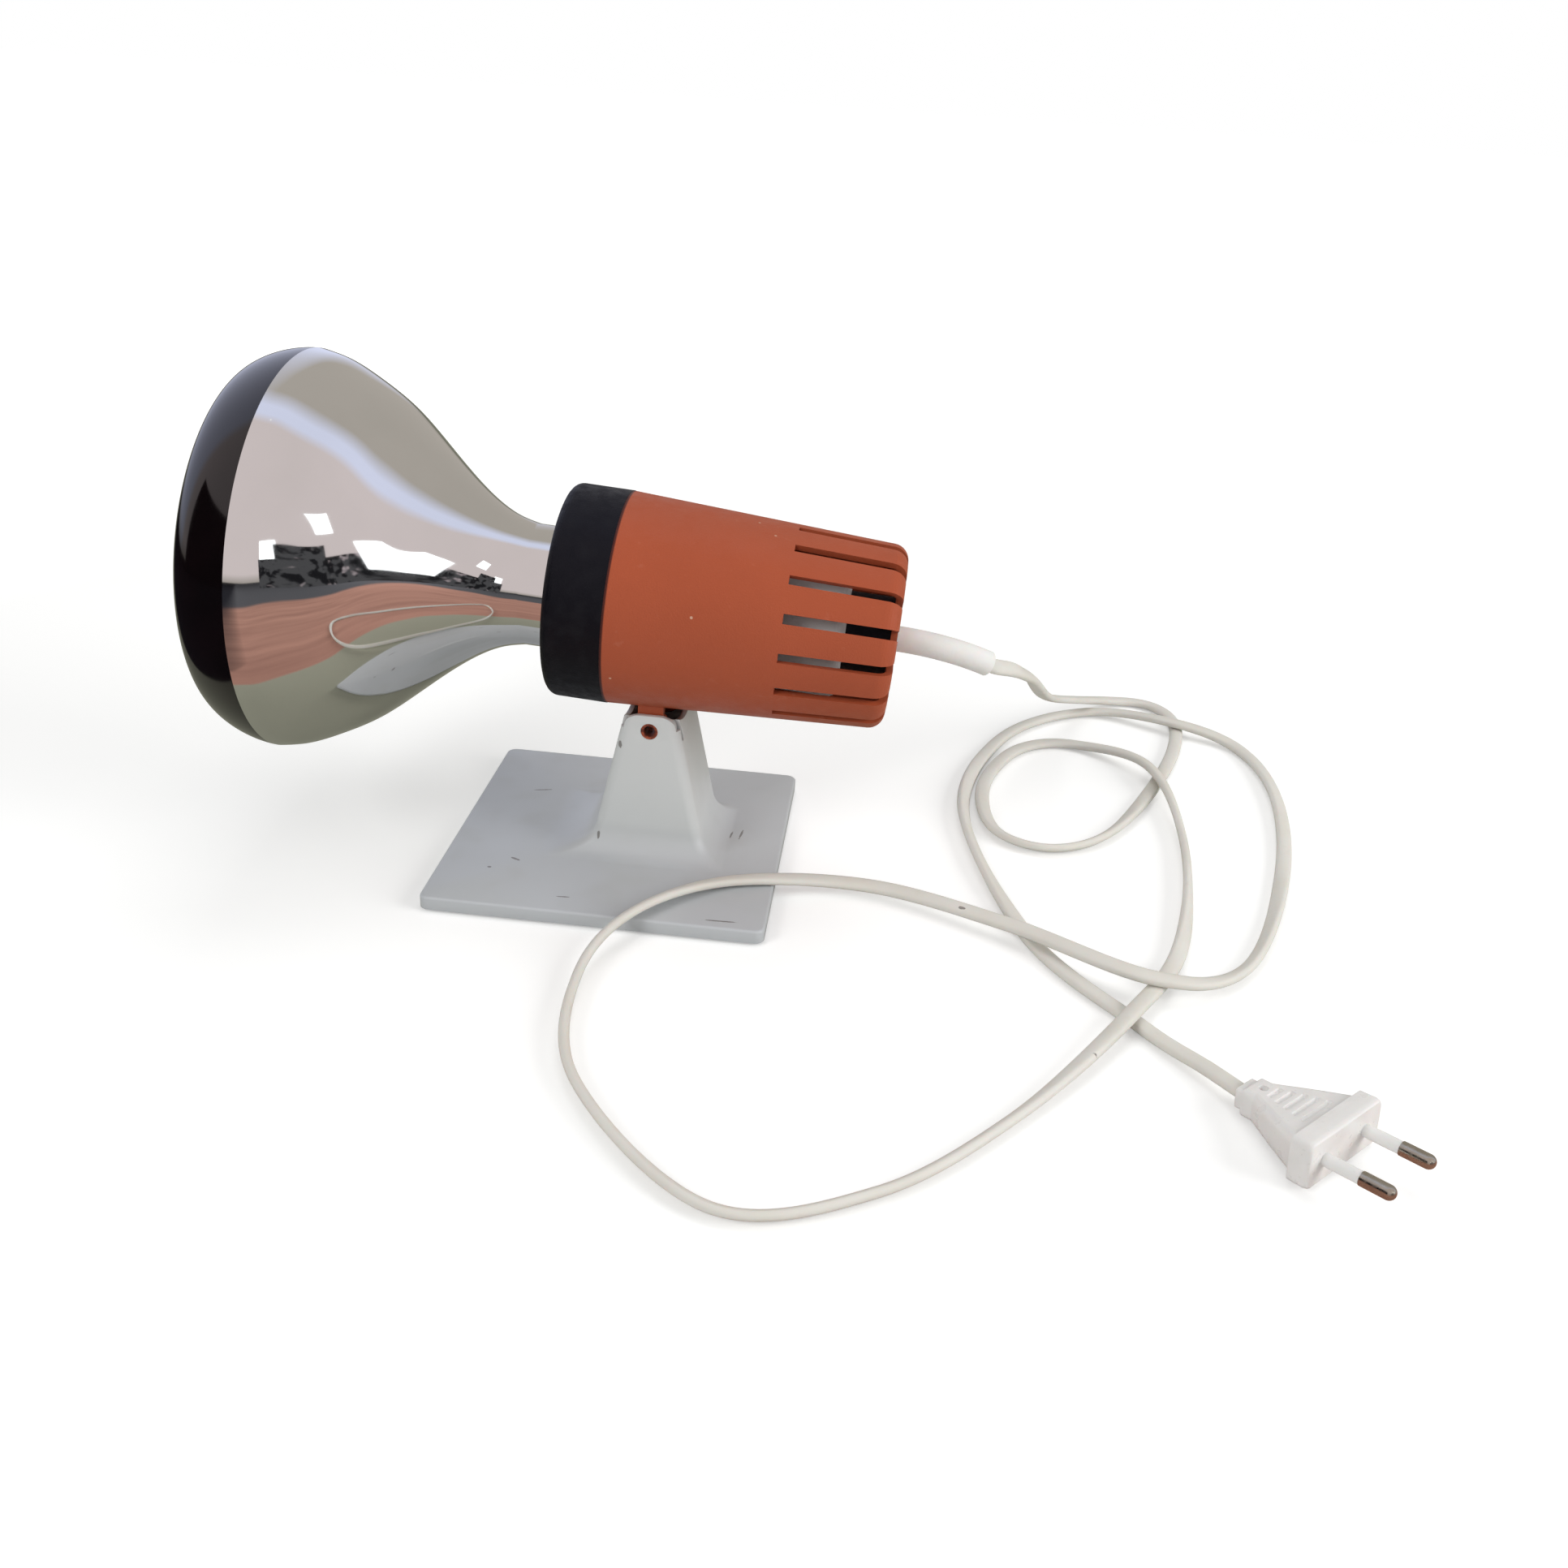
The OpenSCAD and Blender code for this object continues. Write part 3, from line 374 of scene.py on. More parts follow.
# Two dark scuffs near where it crosses itself, placed in millimetres.
for at in ((114.4, -28.8, 5.3), (149.8, -98.3, 3)):
    pvc.tint(pvc.spot(at, (2.4, 1.2, 7), -20), (0.16, 0.14, 0.12), 0.8)
pvc.rough(pvc.noise(0.006), 0.34, 0.5)
pvc.relief(pvc.noise(0.0012), 0.00004, 0.5)
dress("flex", pvc)
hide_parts("cord")

# Plug. A flat two-pin plug moulded onto the cord in white plastic: a wedge with bevelled
# sides, a small collar where the cord goes in, five grip grooves and a dot on both faces,
# and a front rim that stands slightly proud.
GRIPS = np.array([[9.1, 2.7], [12.1, 3.6], [15.1, 4.5], [18.1, 5.4], [21.1, 6.3]]) / 1000
GRIP_HALF, DOT_AT, DOT_R, GROOVE_DEPTH = 0.00062, 0.0058, 0.0011, 0.0008
# Places along the plug from its tail, and half its width, half its thickness and the
# radius of its edges at some of them.
plug_places = np.r_[0, 0.0003, 0.0022, 0.0024, 0.0028, np.arange(0.0031, 0.0236, 0.0002),
                    0.0239, 0.02395, 0.02402, 0.0242, 0.025, 0.0285, 0.0295, 0.0298, 0.03]
half_widths = np.array([
    [0, 3.7], [0.3, 3.9], [2.2, 3.9], [2.4, 4.7], [6, 5.3], [15, 10.4], [23.9, 15], [23.95, 15],
    [24.02, 16.1], [24.2, 16.4], [28.5, 16.5], [29.5, 16.3], [29.8, 16.1], [30, 15.8]]) / 1000
half_heights = np.array([
    [0, 2.9], [0.3, 3.1], [2.2, 3.1], [2.4, 3.9], [2.8, 4.15], [23.9, 5.6], [23.95, 5.65],
    [24.02, 6.4], [24.2, 6.75], [28.5, 6.85], [29.5, 6.7], [29.8, 6.5], [30, 6.2]]) / 1000
edge_radii = np.array([[0, 0.9], [2.4, 1.2], [6, 2.4], [23.9, 2.6], [24.2, 2.2]]) / 1000
plug_half_w = np.interp(plug_places, *half_widths.T)
plug_half_t = np.interp(plug_places, *half_heights.T)
plug_corner = np.interp(plug_places, *edge_radii.T)
FLATNESS = 8
bend_at = np.arcsin(1 / FLATNESS)


def round_box(across, upright, corner):
    """Angles for a section of a box with round edges, given how many fall on its top, on a
    side and on an edge."""
    quarter = [np.arcsin(np.linspace(-1, 1, upright, endpoint=False) / FLATNESS),
               np.linspace(bend_at, np.pi / 2 - bend_at, corner, endpoint=False),
               np.pi / 2 + np.arcsin(np.linspace(-1, 1, across, endpoint=False) / FLATNESS),
               np.linspace(np.pi / 2 + bend_at, np.pi - bend_at, corner, endpoint=False)]
    half = np.concatenate(quarter)
    return np.r_[half, half + np.pi]


def box_section(angles, half_w, half_t, corner):
    """Section of a box with round edges: the circle of an edge, carried out to the four edges
    by clipped waves."""
    cos, sin = np.cos(angles), np.sin(angles)
    return ((half_w - corner)[:, None] * np.clip(FLATNESS * cos, -1, 1) + corner[:, None] * cos,
            (half_t - corner)[:, None] * np.clip(FLATNESS * sin, -1, 1) + corner[:, None] * sin)


plug_angles = round_box(44, 6, 4)
plug_y, plug_z = box_section(plug_angles, plug_half_w, plug_half_t, plug_corner)
on_face = np.abs(FLATNESS * np.cos(plug_angles)) < 1
groove = np.zeros_like(plug_y)
for grip_at, grip_half in GRIPS:
    lengthwise = np.exp(-(((plug_places - grip_at) / GRIP_HALF) ** 4))[:, None]
    groove += lengthwise * np.clip((grip_half - np.abs(plug_y)) / 0.0004 + 0.5, 0, 1)
from_dot = np.hypot((plug_places - DOT_AT)[:, None], plug_y)
groove += 2 * np.clip((DOT_R - from_dot) / 0.0003 + 0.5, 0, 1)
plug_z -= np.sign(plug_z) * GROOVE_DEPTH * np.clip(groove, 0, 2) * on_face
plug_x = np.broadcast_to(plug_places[:, None], plug_y.shape)
plug_grid = on_plug(np.stack([plug_x, plug_y, plug_z], -1))
plug = skin("plug_shell", plug_grid, ends=True, sharp=32)
moulding = Finish("white_moulding", (0.79, 0.775, 0.755), 0.34, Subsurface_Weight=0.08,
                  Subsurface_Scale=0.0015, Specular_IOR_Level=0.5)
moulding.tint(moulding.noise(0.012, 0.4, 0.8), (0.62, 0.61, 0.59), 0.5)
moulding.tint(moulding.noise(0.0016, 0.66, 0.8), (0.42, 0.40, 0.37), 0.35)
moulding.rough(moulding.noise(0.004), 0.27, 0.42)
moulding.relief(moulding.noise(0.0007), 0.00003, 0.5)
dress("plug_shell", moulding)
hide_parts("plug_body")
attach(plug, "stand")
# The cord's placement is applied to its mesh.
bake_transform(cord)

# Pins. Turned brass pins of 4 mm, nickel plated, moulded into the plug, with a white
# insulating sleeve on the half next to it. The CAD pins stay and get their finish here.
nickel = Finish("nickel", (0.46, 0.43, 0.36), 0.24, Metallic=1.0)
nickel.tint(nickel.noise(0.003, 0.45, 0.8), (0.30, 0.27, 0.21), 0.5)
nickel.rough(nickel.noise(0.0012), 0.18, 0.36)
dress("plug_pins", nickel)
dress("pin_sleeves", moulding)

# Stand. One piece of 1.6 mm sheet steel, drawn into a low square plate that flares up
# into a hollow column; slits free its two cheeks so that they spring against the lug.
# It is sprayed in a pale grey-white lacquer, worn through at some edges.
SHEET, PLATE, PLATE_R, PLATE_LOW, PLATE_TOP, RIM_R = 0.0016, 0.054, 0.003, 0.0006, 0.005, 0.0009
COLUMN_X, COLUMN_HALF, COLUMN_LEAN, COLUMN_TOP, COLUMN_R = 0.011, 0.0095, 0.22, 0.0573, 0.0035
FOOT, FLARE_H, FLARE_LEFT, FLARE_RIGHT, FLARE_SIDE = 0.0063, 0.009, 0.018, 0.007, 0.008
HINGE, HOLE_R, CHEEK_OUT, CHEEK_TOP, CHEEK_R = 0.051, 0.00275, 0.017, 0.0563, 0.005
SADDLE_AT, SADDLE_R, CUT_TOP = 0.0819, 0.0305, 0.062
SLIT_Y, SLIT_W, SLIT_FOOT, SLIT_R = 0.0135, 0.0012, 0.0484, 0.0012
corner_angles = (np.linspace(0, 90, 9)[None] + np.arange(0, 360, 90)[:, None]).ravel()


def plate_ring(left, right, half_y, corner, height):
    """Rectangles with round corners, one row for each height: the circle of a corner, moved to
    the four corners."""
    cos, sin = np.cos(np.radians(corner_angles)), np.sin(np.radians(corner_angles))
    to_right = np.isin(np.arange(4).repeat(9), (0, 3))
    to_back = np.isin(np.arange(4).repeat(9), (0, 1))
    sizes = np.broadcast_arrays(*(np.atleast_1d(v) for v in (left, right, half_y, corner, height)))
    left, right, half_y, corner, height = (size[:, None] for size in sizes)
    x = np.where(to_right, right - corner, left + corner) + corner * cos
    y = np.where(to_back, half_y - corner, corner - half_y) + corner * sin
    return np.stack([x, y, np.broadcast_to(height, x.shape)], -1)


def half_column(heights):
    """Half the column's width across the hinge, which shrinks evenly with the height."""
    return COLUMN_HALF + (HINGE - heights) * COLUMN_LEAN


def column_ring(heights, wall, drop):
    """The column at some heights, moved in by the wall and down by the drop: leaning sides and,
    near its foot, a flare that is a quarter of an ellipse."""
    low = part_way(heights, FOOT, FOOT + FLARE_H)
    flare = 1 - np.sqrt(1 - (1 - low) ** 2)
    return plate_ring(COLUMN_X - half_column(heights) - FLARE_LEFT * flare + wall,
                      COLUMN_X + half_column(heights) + FLARE_RIGHT * flare - wall,
                      CHEEK_OUT + FLARE_SIDE * flare - wall,
                      COLUMN_R - np.minimum(wall, SHEET) + 0 * heights, heights - drop)


flare_at = FOOT + FLARE_H * np.linspace(0, 1, 22) ** 2
straight_at = FOOT + FLARE_H + np.linspace(0.002, COLUMN_TOP - FOOT - FLARE_H, 14)
rim_turn = np.radians(np.linspace(0, 90, 6))
rim_out = PLATE - RIM_R * (1 - np.cos(rim_turn))
outer_rings = np.vstack([
    plate_ring(-PLATE, PLATE, PLATE, PLATE_R, PLATE_LOW),
    plate_ring(-rim_out, rim_out, rim_out, PLATE_R, PLATE_TOP - RIM_R * (1 - np.sin(rim_turn))),
    column_ring(flare_at, 0, 0), column_ring(straight_at, 0, 0)])
share = (flare_at - FOOT) / FLARE_H
plate_in = PLATE - SHEET
inner_rings = np.vstack([
    plate_ring(-plate_in, plate_in, plate_in, PLATE_R - SHEET,
               np.array([PLATE_LOW, PLATE_TOP - SHEET])),
    column_ring(flare_at, SHEET * share, SHEET * (1 - share)),
    column_ring(straight_at, SHEET, 0)])
stand = skin("stand_pressing", np.vstack([outer_rings, inner_rings[::-1]]), loop=True)


def bar(name, outline, along, low, high):
    """Prism between two places along an axis, from an outline given anticlockwise in the
    other two."""
    grid = np.zeros((2, len(outline), 3))
    others = [k for k in range(3) if k != along]
    grid[:, :, others] = outline
    grid[:, :, along] = np.array([low, high])[:, None]
    return skin(name, grid if along != 1 else grid[:, ::-1], ends=True)


def arc(x, y, r, start, end, count):
    """Points of a circle between two angles in degrees."""
    turn = np.radians(np.linspace(start, end, count))
    return np.stack([x + r * np.cos(turn), y + r * np.sin(turn)], 1)


# The cuts: the cheeks' round tops, the saddle between them, the slits and the hinge hole.
CHEEK_DEEP, CUT_BACK, CUT_FRONT = 0.0045, -0.01, 0.032
corner_x, corner_z = half_column(CHEEK_TOP) - CHEEK_R, CHEEK_TOP - CHEEK_R
cheek_outline = np.vstack([
    [[COLUMN_X - 0.02, corner_z]], arc(COLUMN_X - corner_x, corner_z, CHEEK_R, 180, 90, 12),
    arc(COLUMN_X + corner_x, corner_z, CHEEK_R, 90, 0, 12),
    [[COLUMN_X + 0.02, corner_z], [COLUMN_X + 0.02, CUT_TOP], [COLUMN_X - 0.02, CUT_TOP]]])
saddle_turn = np.degrees(np.arcsin(SLIT_Y / SADDLE_R))
saddle_outline = np.vstack([
    arc(0, SADDLE_AT, SADDLE_R, 270 - saddle_turn, 270 + saddle_turn, 40),
    [[SLIT_Y, CUT_TOP], [-SLIT_Y, CUT_TOP]]])
cutters = [bar(f"cut_cheek_{k}", cheek_outline, 1, low, low + CHEEK_DEEP)
           for k, low in enumerate((SLIT_Y, -SLIT_Y - CHEEK_DEEP))]
cutters.append(bar("cut_saddle", saddle_outline, 0, CUT_BACK, CUT_FRONT))
for mirror in (-1, 1):
    middle = mirror * (SLIT_Y - SLIT_W / 2)
    left, right, neck_z = middle - SLIT_W / 2, middle + SLIT_W / 2, SLIT_FOOT + 0.00105
    slit_outline = np.vstack([
        arc(middle, SLIT_FOOT, SLIT_R, 150, 390, 24),
        [[right, neck_z], [right, CUT_TOP], [left, CUT_TOP], [left, neck_z]]])
    cutters.append(bar(f"cut_slit_{mirror + 1}", slit_outline, 0, CUT_BACK, CUT_FRONT))
cutters.append(bar("cut_hinge", arc(COLUMN_X, HINGE, HOLE_R, 0, 352.5, 48), 1, -0.02, 0.02))
for cutter in cutters:
    step = stand.modifiers.new(cutter.name, "BOOLEAN")
    step.operation, step.solver, step.object = "DIFFERENCE", "EXACT", cutter
rounding = stand.modifiers.new("rounding", "BEVEL")
rounding.width, rounding.segments, rounding.limit_method = 0.0003, 2, "ANGLE"
rounding.angle_limit = radians(50)
cut_stand = stand.evaluated_get(bpy.context.evaluated_depsgraph_get())
pressed = bpy.data.meshes.new_from_object(cut_stand)
for spent in [stand] + cutters:
    bpy.data.objects.remove(spent)
stand = piece_of("stand_pressing", pressed, 32)
lacquer = Finish("pale_lacquer", (0.51, 0.53, 0.55), 0.3, Specular_IOR_Level=0.5,
                 Coat_Weight=0.15, Coat_Roughness=0.2)
lacquer.tint(lacquer.noise(0.05, 0.35, 0.75), (0.47, 0.485, 0.49), 0.6)
lacquer.tint(lacquer.noise(0.012, 0.55, 0.8, 1), (0.45, 0.46, 0.45), 0.3)
# Painted light: from 7 to 18 mm up the lacquer is made paler, so that the column shows more
# brightly lit than the plate.
lacquer.tint(lacquer.reached(lacquer.axis("Z"), 0.007, 0.018), (0.64, 0.66, 0.65), 0.8)
# Worn places: point and size in millimetres, turn in degrees.
for at, size, turn in (((-33, 21.5, 5.5), (7, 0.7, 4), 10), ((-10, -46, 5), (5, 0.6, 4), 5),
                       ((-30, -27.5, 5.5), (4, 1.1, 4), -25), ((-37, -33.5, 5.5), (1.6, 1.2, 4), 0),
                       ((40, -50.3, 5), (11, 0.7, 4), 2), ((39.7, 3.5, 6), (0.8, 7, 4), -6),
                       ((36.5, 2, 6), (0.7, 5, 4), -6), ((-2.2, -17, 30), (0.9, 2, 3.2), 0),
                       ((-5, -17, 12), (1.1, 2, 4), 0), ((1.6, -16.6, 45.4), (1.6, 3, 2.6), 0),
                       ((-8, -12, 9), (1.5, 4, 1.6), 30), ((-14, -8, 7), (1.2, 4, 1.6), 40)):
    lacquer.tint(lacquer.spot(at, size, turn), (0.12, 0.10, 0.09), 0.75)
lacquer.rough(lacquer.noise(0.012), 0.28, 0.38)
lacquer.relief(lacquer.noise(0.005, 0.2, 0.8, 1), 0.00004, 0.2)
dress("stand_pressing", lacquer)
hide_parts("stand")
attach(stand, "stand")

# Ballast plate and felt. A square of mild steel is cemented into the plate so that the
# heavy lamp doesn't tip the stand, and a sheet of dark felt is glued under it.
steel = Finish("zinc_steel", (0.52, 0.52, 0.53), 0.38, Metallic=1.0)
steel.tint(steel.noise(0.01, 0.4, 0.7), (0.36, 0.36, 0.36), 0.6)
steel.rough(steel.noise(0.003), 0.3, 0.5)
steel.relief(steel.noise(0.0015), 0.00004, 0.4)
felt = Finish("dark_felt", (0.035, 0.042, 0.038), 0.95, Sheen_Weight=0.4, Sheen_Roughness=0.6)
felt.tint(felt.noise(0.002, 0.4, 0.7), (0.075, 0.085, 0.08), 0.7)
felt.relief(felt.noise(0.0005, 0.3, 0.7, 6), 0.0003, 0.9)
dress("ballast_plate", steel)
dress("felt_sheet", felt)

# Housing. Tapered shell moulded in terracotta plastic with a fine matt texture, sixteen
# cooling slots that run over its rear edge, and the hinge lug under it.
terracotta = Finish("terracotta", (0.38, 0.077, 0.03), 0.46, Specular_IOR_Level=0.3)
terracotta.tint(terracotta.noise(0.04, 0.35, 0.7), (0.33, 0.066, 0.025), 0.6)
terracotta.tint(terracotta.noise(0.0035, 0.66, 0.8), (0.46, 0.15, 0.09), 0.3)
# Pale flecks, then painted shade on the ends of the two hollow trunnions, for the shade inside the
# hinge holes.
for at in ((40.9, -1.7, 117), (46.5, -7.9, 115.3), (25.2, -30.6, 95.6), (1.1, -29.5, 73.5)):
    terracotta.tint(terracotta.spot(at, (0.9, 0.7, 0.9)), (0.62, 0.42, 0.3), 0.7)
for side_y in (-15, 15):
    terracotta.tint(terracotta.spot((11, side_y, 51), (6.5, 6, 6.5)), (0.09, 0.02, 0.012), 0.85)
# Painted shade: a dark line where the housing meets the collar ring, for the shadow in the gap
# between them.
along_head = terracotta.add("VectorMath", operation="DOT_PRODUCT")
terracotta.link(terracotta.place, along_head.inputs[0])
along_head.inputs[1].default_value = head_axes[:, 2]
joint_at = head_start @ head_axes[:, 2]
joint_shade = terracotta.reached(along_head.outputs["Value"], joint_at + 0.0009, joint_at + 0.0005)
terracotta.tint(joint_shade, (0.06, 0.012, 0.008))
terracotta.rough(terracotta.noise(0.005), 0.4, 0.54)
terracotta.relief(terracotta.noise(0.0005, 0.3, 0.7, 3), 0.00006, 0.6)
dress("housing", terracotta)

# Lampholder. Two grey mouldings that screw together round a porcelain insert, on a
# threaded nipple with two nuts; a brass shell takes the lamp's cap, and the cord's two
# wires end in brass terminals.
grey = Finish("grey_moulding", (0.66, 0.66, 0.65), 0.5)
grey.tint(grey.noise(0.012, 0.4, 0.7), (0.58, 0.58, 0.57), 0.6)
grey.rough(grey.noise(0.004), 0.42, 0.6)
grey.relief(grey.noise(0.0008), 0.00005, 0.5)
brass = Finish("satin_brass", (0.62, 0.47, 0.22), 0.3, Metallic=1.0)
brass.tint(brass.noise(0.006, 0.4, 0.7), (0.42, 0.29, 0.13), 0.6)
brass.rough(brass.noise(0.002), 0.24, 0.42)
porcelain = Finish("porcelain", (0.78, 0.765, 0.72), 0.14, Coat_Weight=0.5, Coat_Roughness=0.08)
porcelain.tint(porcelain.noise(0.004, 0.5, 0.8), (0.66, 0.63, 0.57), 0.5)
brown = Finish("brown_wire", (0.2, 0.085, 0.035), 0.38)
brown.tint(brown.noise(0.003), (0.15, 0.06, 0.025), 0.6)
blue = Finish("blue_wire", (0.045, 0.11, 0.34), 0.38)
blue.tint(blue.noise(0.003), (0.03, 0.08, 0.26), 0.6)
for node, finish in (("holder_sleeve", grey), ("holder_cap", grey), ("holder_insert", porcelain),
                     ("thread_shell", brass), ("centre_contact", brass), ("terminals", brass),
                     ("terminal_screws", steel), ("nipple", steel), ("nipple_nuts", steel),
                     ("live_core", brown), ("neutral_core", blue), ("inner_cord", pvc)):
    dress(node, finish)

# Bend sleeve. A soft white rubber tube pushed into the nipple, cut off square, which
# keeps the cord from kinking where it leaves the housing.
rubber = Finish("white_sleeve", (0.78, 0.77, 0.745), 0.5, Subsurface_Weight=0.25,
                Subsurface_Scale=0.002)
rubber.tint(rubber.noise(0.01, 0.4, 0.8), (0.70, 0.68, 0.64), 0.6)
rubber.rough(rubber.noise(0.004), 0.42, 0.58)
rubber.relief(rubber.noise(0.0011), 0.00006, 0.5)
dress("bend_sleeve", rubber)

# Collar ring. Matt black moulding that closes the front of the housing round the lamp's
# neck and snaps into it.
matt_black = Finish("matt_black", (0.004, 0.004, 0.007), 0.5, Specular_IOR_Level=0.17)
matt_black.tint(matt_black.noise(0.006, 0.5, 0.8), (0.012, 0.012, 0.015), 0.6)
matt_black.rough(matt_black.noise(0.003), 0.42, 0.6)
matt_black.relief(matt_black.noise(0.0006), 0.00005, 0.5)
dress("collar_ring", matt_black)
dress("spacer_tube", matt_black)

# Lamp glass. Two blown glass pieces fused at the silver edge: the reflector, silvered on
# its inside so that it shows as a mirror, and the shallow front, coloured almost black.
SILVER_AT, FRONT_AT, LAMP_R, NECK_R = -0.1003, -0.1255, 0.0625, 0.019
GLASS, FRONT_HALF, FRONT_SAG_R = 0.0012, LAMP_R - 0.0105, 0.21
round_lamp = np.linspace(0, 2 * np.pi, 192, endpoint=False)


def pulled(start, pull, drag, end, count):
    """Cubic from start to end, drawn towards two pull points, without its first point."""
    t = (np.arange(1, count + 1) / count)[:, None]
    start, pull, drag, end = (np.array(p, float) for p in (start, pull, drag, end))
    return ((1 - t) ** 3 * start + 3 * (1 - t) ** 2 * t * pull
            + 3 * (1 - t) * t**2 * drag + t**3 * end)


def inwards(outline, depth):
    """The outline moved to the left of its own direction, at most to the axis."""
    slope = unit(np.gradient(outline, axis=0))
    moved = outline + depth * np.stack([-slope[:, 1], slope[:, 0]], 1)
    return np.maximum(moved, [0, -1])


def turned(outline):
    """The outline turned about the head's axis, from points [radius, distance from the collar
    joint]."""
    radius = outline[:, :1]
    along = np.broadcast_to(outline[:, 1:], (len(outline), len(round_lamp)))
    return on_head(np.stack([radius * np.cos(round_lamp), radius * np.sin(round_lamp), along], -1))


# Outline from the middle of the front over its shoulder, the widest edge, the belly and
# the hollow to the neck.
dome_r = FRONT_HALF * np.linspace(0, 1, 40)
dome = np.stack([dome_r, FRONT_AT + FRONT_SAG_R - np.sqrt(FRONT_SAG_R**2 - dome_r**2)], 1)
shoulder = pulled(dome[-1], dome[-1] + [0.0058, 0.0015], [LAMP_R - 0.0006, SILVER_AT - 0.007],
                  [LAMP_R - 0.0004, SILVER_AT], 36)
belly_end = np.array([LAMP_R - 0.0094, SILVER_AT + 0.0223])
belly = pulled(shoulder[-1], shoulder[-1] + [0.0006, 0.006], belly_end + [0.0035, -0.0069],
               belly_end, 44)
hollow = pulled(belly_end, belly_end + [-0.0066, 0.013], [NECK_R, SILVER_AT + 0.0558],
                [NECK_R, SILVER_AT + 0.0723], 70)
neck_end = pulled([NECK_R, 0.014], [NECK_R, 0.019], [0.0132, 0.019], [0.0126, 0.027], 16)
neck = np.vstack([[[NECK_R, 0.014]], neck_end, [[0.0126, 0.033]]])
body = np.vstack([shoulder[-1:], belly, hollow])
body = even_line(np.column_stack([body, 0 * body[:, 0]]), 0.0008)[0][:, :2]
body = averaged(body, 17, mode="reflect", reflect_type="odd")
bulb = np.vstack([dome, shoulder, body[1:], neck])
bulb_inside = inwards(bulb, GLASS)
edge = len(dome) + len(shoulder) - 1
front_outline = np.vstack([bulb[:edge + 1], bulb_inside[edge::-1]])
front_glass = skin("front_glass", turned(front_outline), sharp=50)
reflector_outline = np.vstack([bulb[edge:], bulb_inside[:edge - 1:-1]])
reflector = skin("reflector", turned(reflector_outline), loop=True, sharp=50)
silvering = Finish("silvered_glass", (0.80, 0.80, 0.79), 0.045, Metallic=1.0, Coat_Weight=0.6,
                   Coat_Roughness=0.03)
silvering.tint(silvering.noise(0.03, 0.4, 0.8), (0.70, 0.71, 0.69), 0.5)
silvering.rough(silvering.noise(0.012, 0.3, 0.8), 0.03, 0.075)
silvering.relief(silvering.noise(0.018, 0.2, 0.8, 1), 0.00012, 0.5)
dark_front = Finish("dark_front", (0.0025, 0.0012, 0.0015), 0.09, Specular_IOR_Level=0.5,
                    Coat_Weight=0.3, Coat_Roughness=0.04)
dark_front.tint(dark_front.noise(0.02, 0.45, 0.8), (0.006, 0.002, 0.003), 0.7)
dark_front.rough(dark_front.noise(0.008), 0.07, 0.13)
dress("reflector", silvering)
dress("front_glass", dark_front)
for glass, node, name in ((reflector, "lamp_reflector", "silvered_glass"),
                          (front_glass, "lamp_front_glass", "dark_glass")):
    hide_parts(node)
    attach(glass, "lamp")

# Inside of the lamp and its screw cap. A glass stem carries two lead wires and the
# tungsten filament; the brass cap is cemented on, with black glass round its contact.
clear = Finish("clear_stem", (0.9, 0.93, 0.93), 0.05, Transmission_Weight=0.9, IOR=1.5)
clear.rough(clear.noise(0.006), 0.03, 0.08)
wire = Finish("tungsten", (0.2, 0.2, 0.2), 0.4, Metallic=1.0)
wire.rough(wire.noise(0.001), 0.35, 0.5)
for node, finish in (("lamp_stem", clear), ("filament", wire), ("filament_leads", steel),
                     ("lamp_screw_cap", brass), ("cap_insulator", matt_black),
                     ("cap_contact", steel)):
    dress(node, finish)

# Studio. A pale floor that fades to white under a white surround, a dim room that only
# the object's shiny surfaces see, and three soft lamps that light it at a plain level.
FLOOR_AT, FLOOR_HALF, WOOD_EDGE, DARK_EDGE, CORNER_EDGE = -0.0004, 6, -0.094, -0.4, -0.256
floor_grid = np.array([[[x, y, FLOOR_AT] for x in (-FLOOR_HALF, FLOOR_HALF)]
                       for y in (-FLOOR_HALF, FLOOR_HALF)])
floor = skin("floor", floor_grid, around=False)
ground = Finish("pale_floor", (0.80, 0.80, 0.79), 0.9, Specular_IOR_Level=0.0)
path = ground.add("LightPath").outputs
# In reflections the floor is a pale table top, with a wooden edge in front, dark beyond
# that and a dark corner to the left of a slanting line.
ground.tint(path["Is Glossy Ray"], (0.34, 0.34, 0.27))
slanted = ground.add("Math", operation="MULTIPLY_ADD")
ground.link(ground.axis("Y"), slanted.inputs[0])
slanted.inputs[1].default_value = 1.18
ground.link(ground.axis("X"), slanted.inputs[2])
in_wood = ground.reached(ground.axis("Y"), WOOD_EDGE, WOOD_EDGE - 0.003)
grain = ground.noise(0.05, 0.3, 0.7, 4, ground.stretched((0.25, 2.5, 1)))
in_dark = ground.reached(ground.axis("Y"), DARK_EDGE, DARK_EDGE - 0.04)
in_corner = ground.times(ground.reached(slanted.outputs[0], CORNER_EDGE, CORNER_EDGE - 0.006),
                         ground.reached(ground.axis("X"), -0.1, -0.14))
for mask, colour in ((in_wood, (0.50, 0.27, 0.21)),
                     (ground.times(grain, in_wood), (0.36, 0.19, 0.15)),
                     (in_dark, (0.10, 0.10, 0.11)), (in_corner, (0.02, 0.02, 0.025))):
    ground.tint(ground.times(mask, path["Is Glossy Ray"]), colour)
# Seen from the camera it fades to white.
distance = ground.add("VectorMath", operation="LENGTH")
ground.link(ground.place, distance.inputs[0])
lightened = ground.add("Emission")
fading = ground.add("MapRange", **{"From Min": 0.35, "From Max": 0.9, "To Min": 0.32,
                                   "To Max": 1.0})
ground.link(distance.outputs["Value"], fading.inputs["Value"])
ground.link(ground.times(path["Is Camera Ray"], fading.outputs["Result"]),
            lightened.inputs["Strength"])
both = ground.add("AddShader")
ground.link(ground.shader.outputs[0], both.inputs[0])
ground.link(lightened.outputs[0], both.inputs[1])
ground.link(both.outputs[0], ground.tree.nodes["Material Output"].inputs["Surface"])
dress("floor", ground)
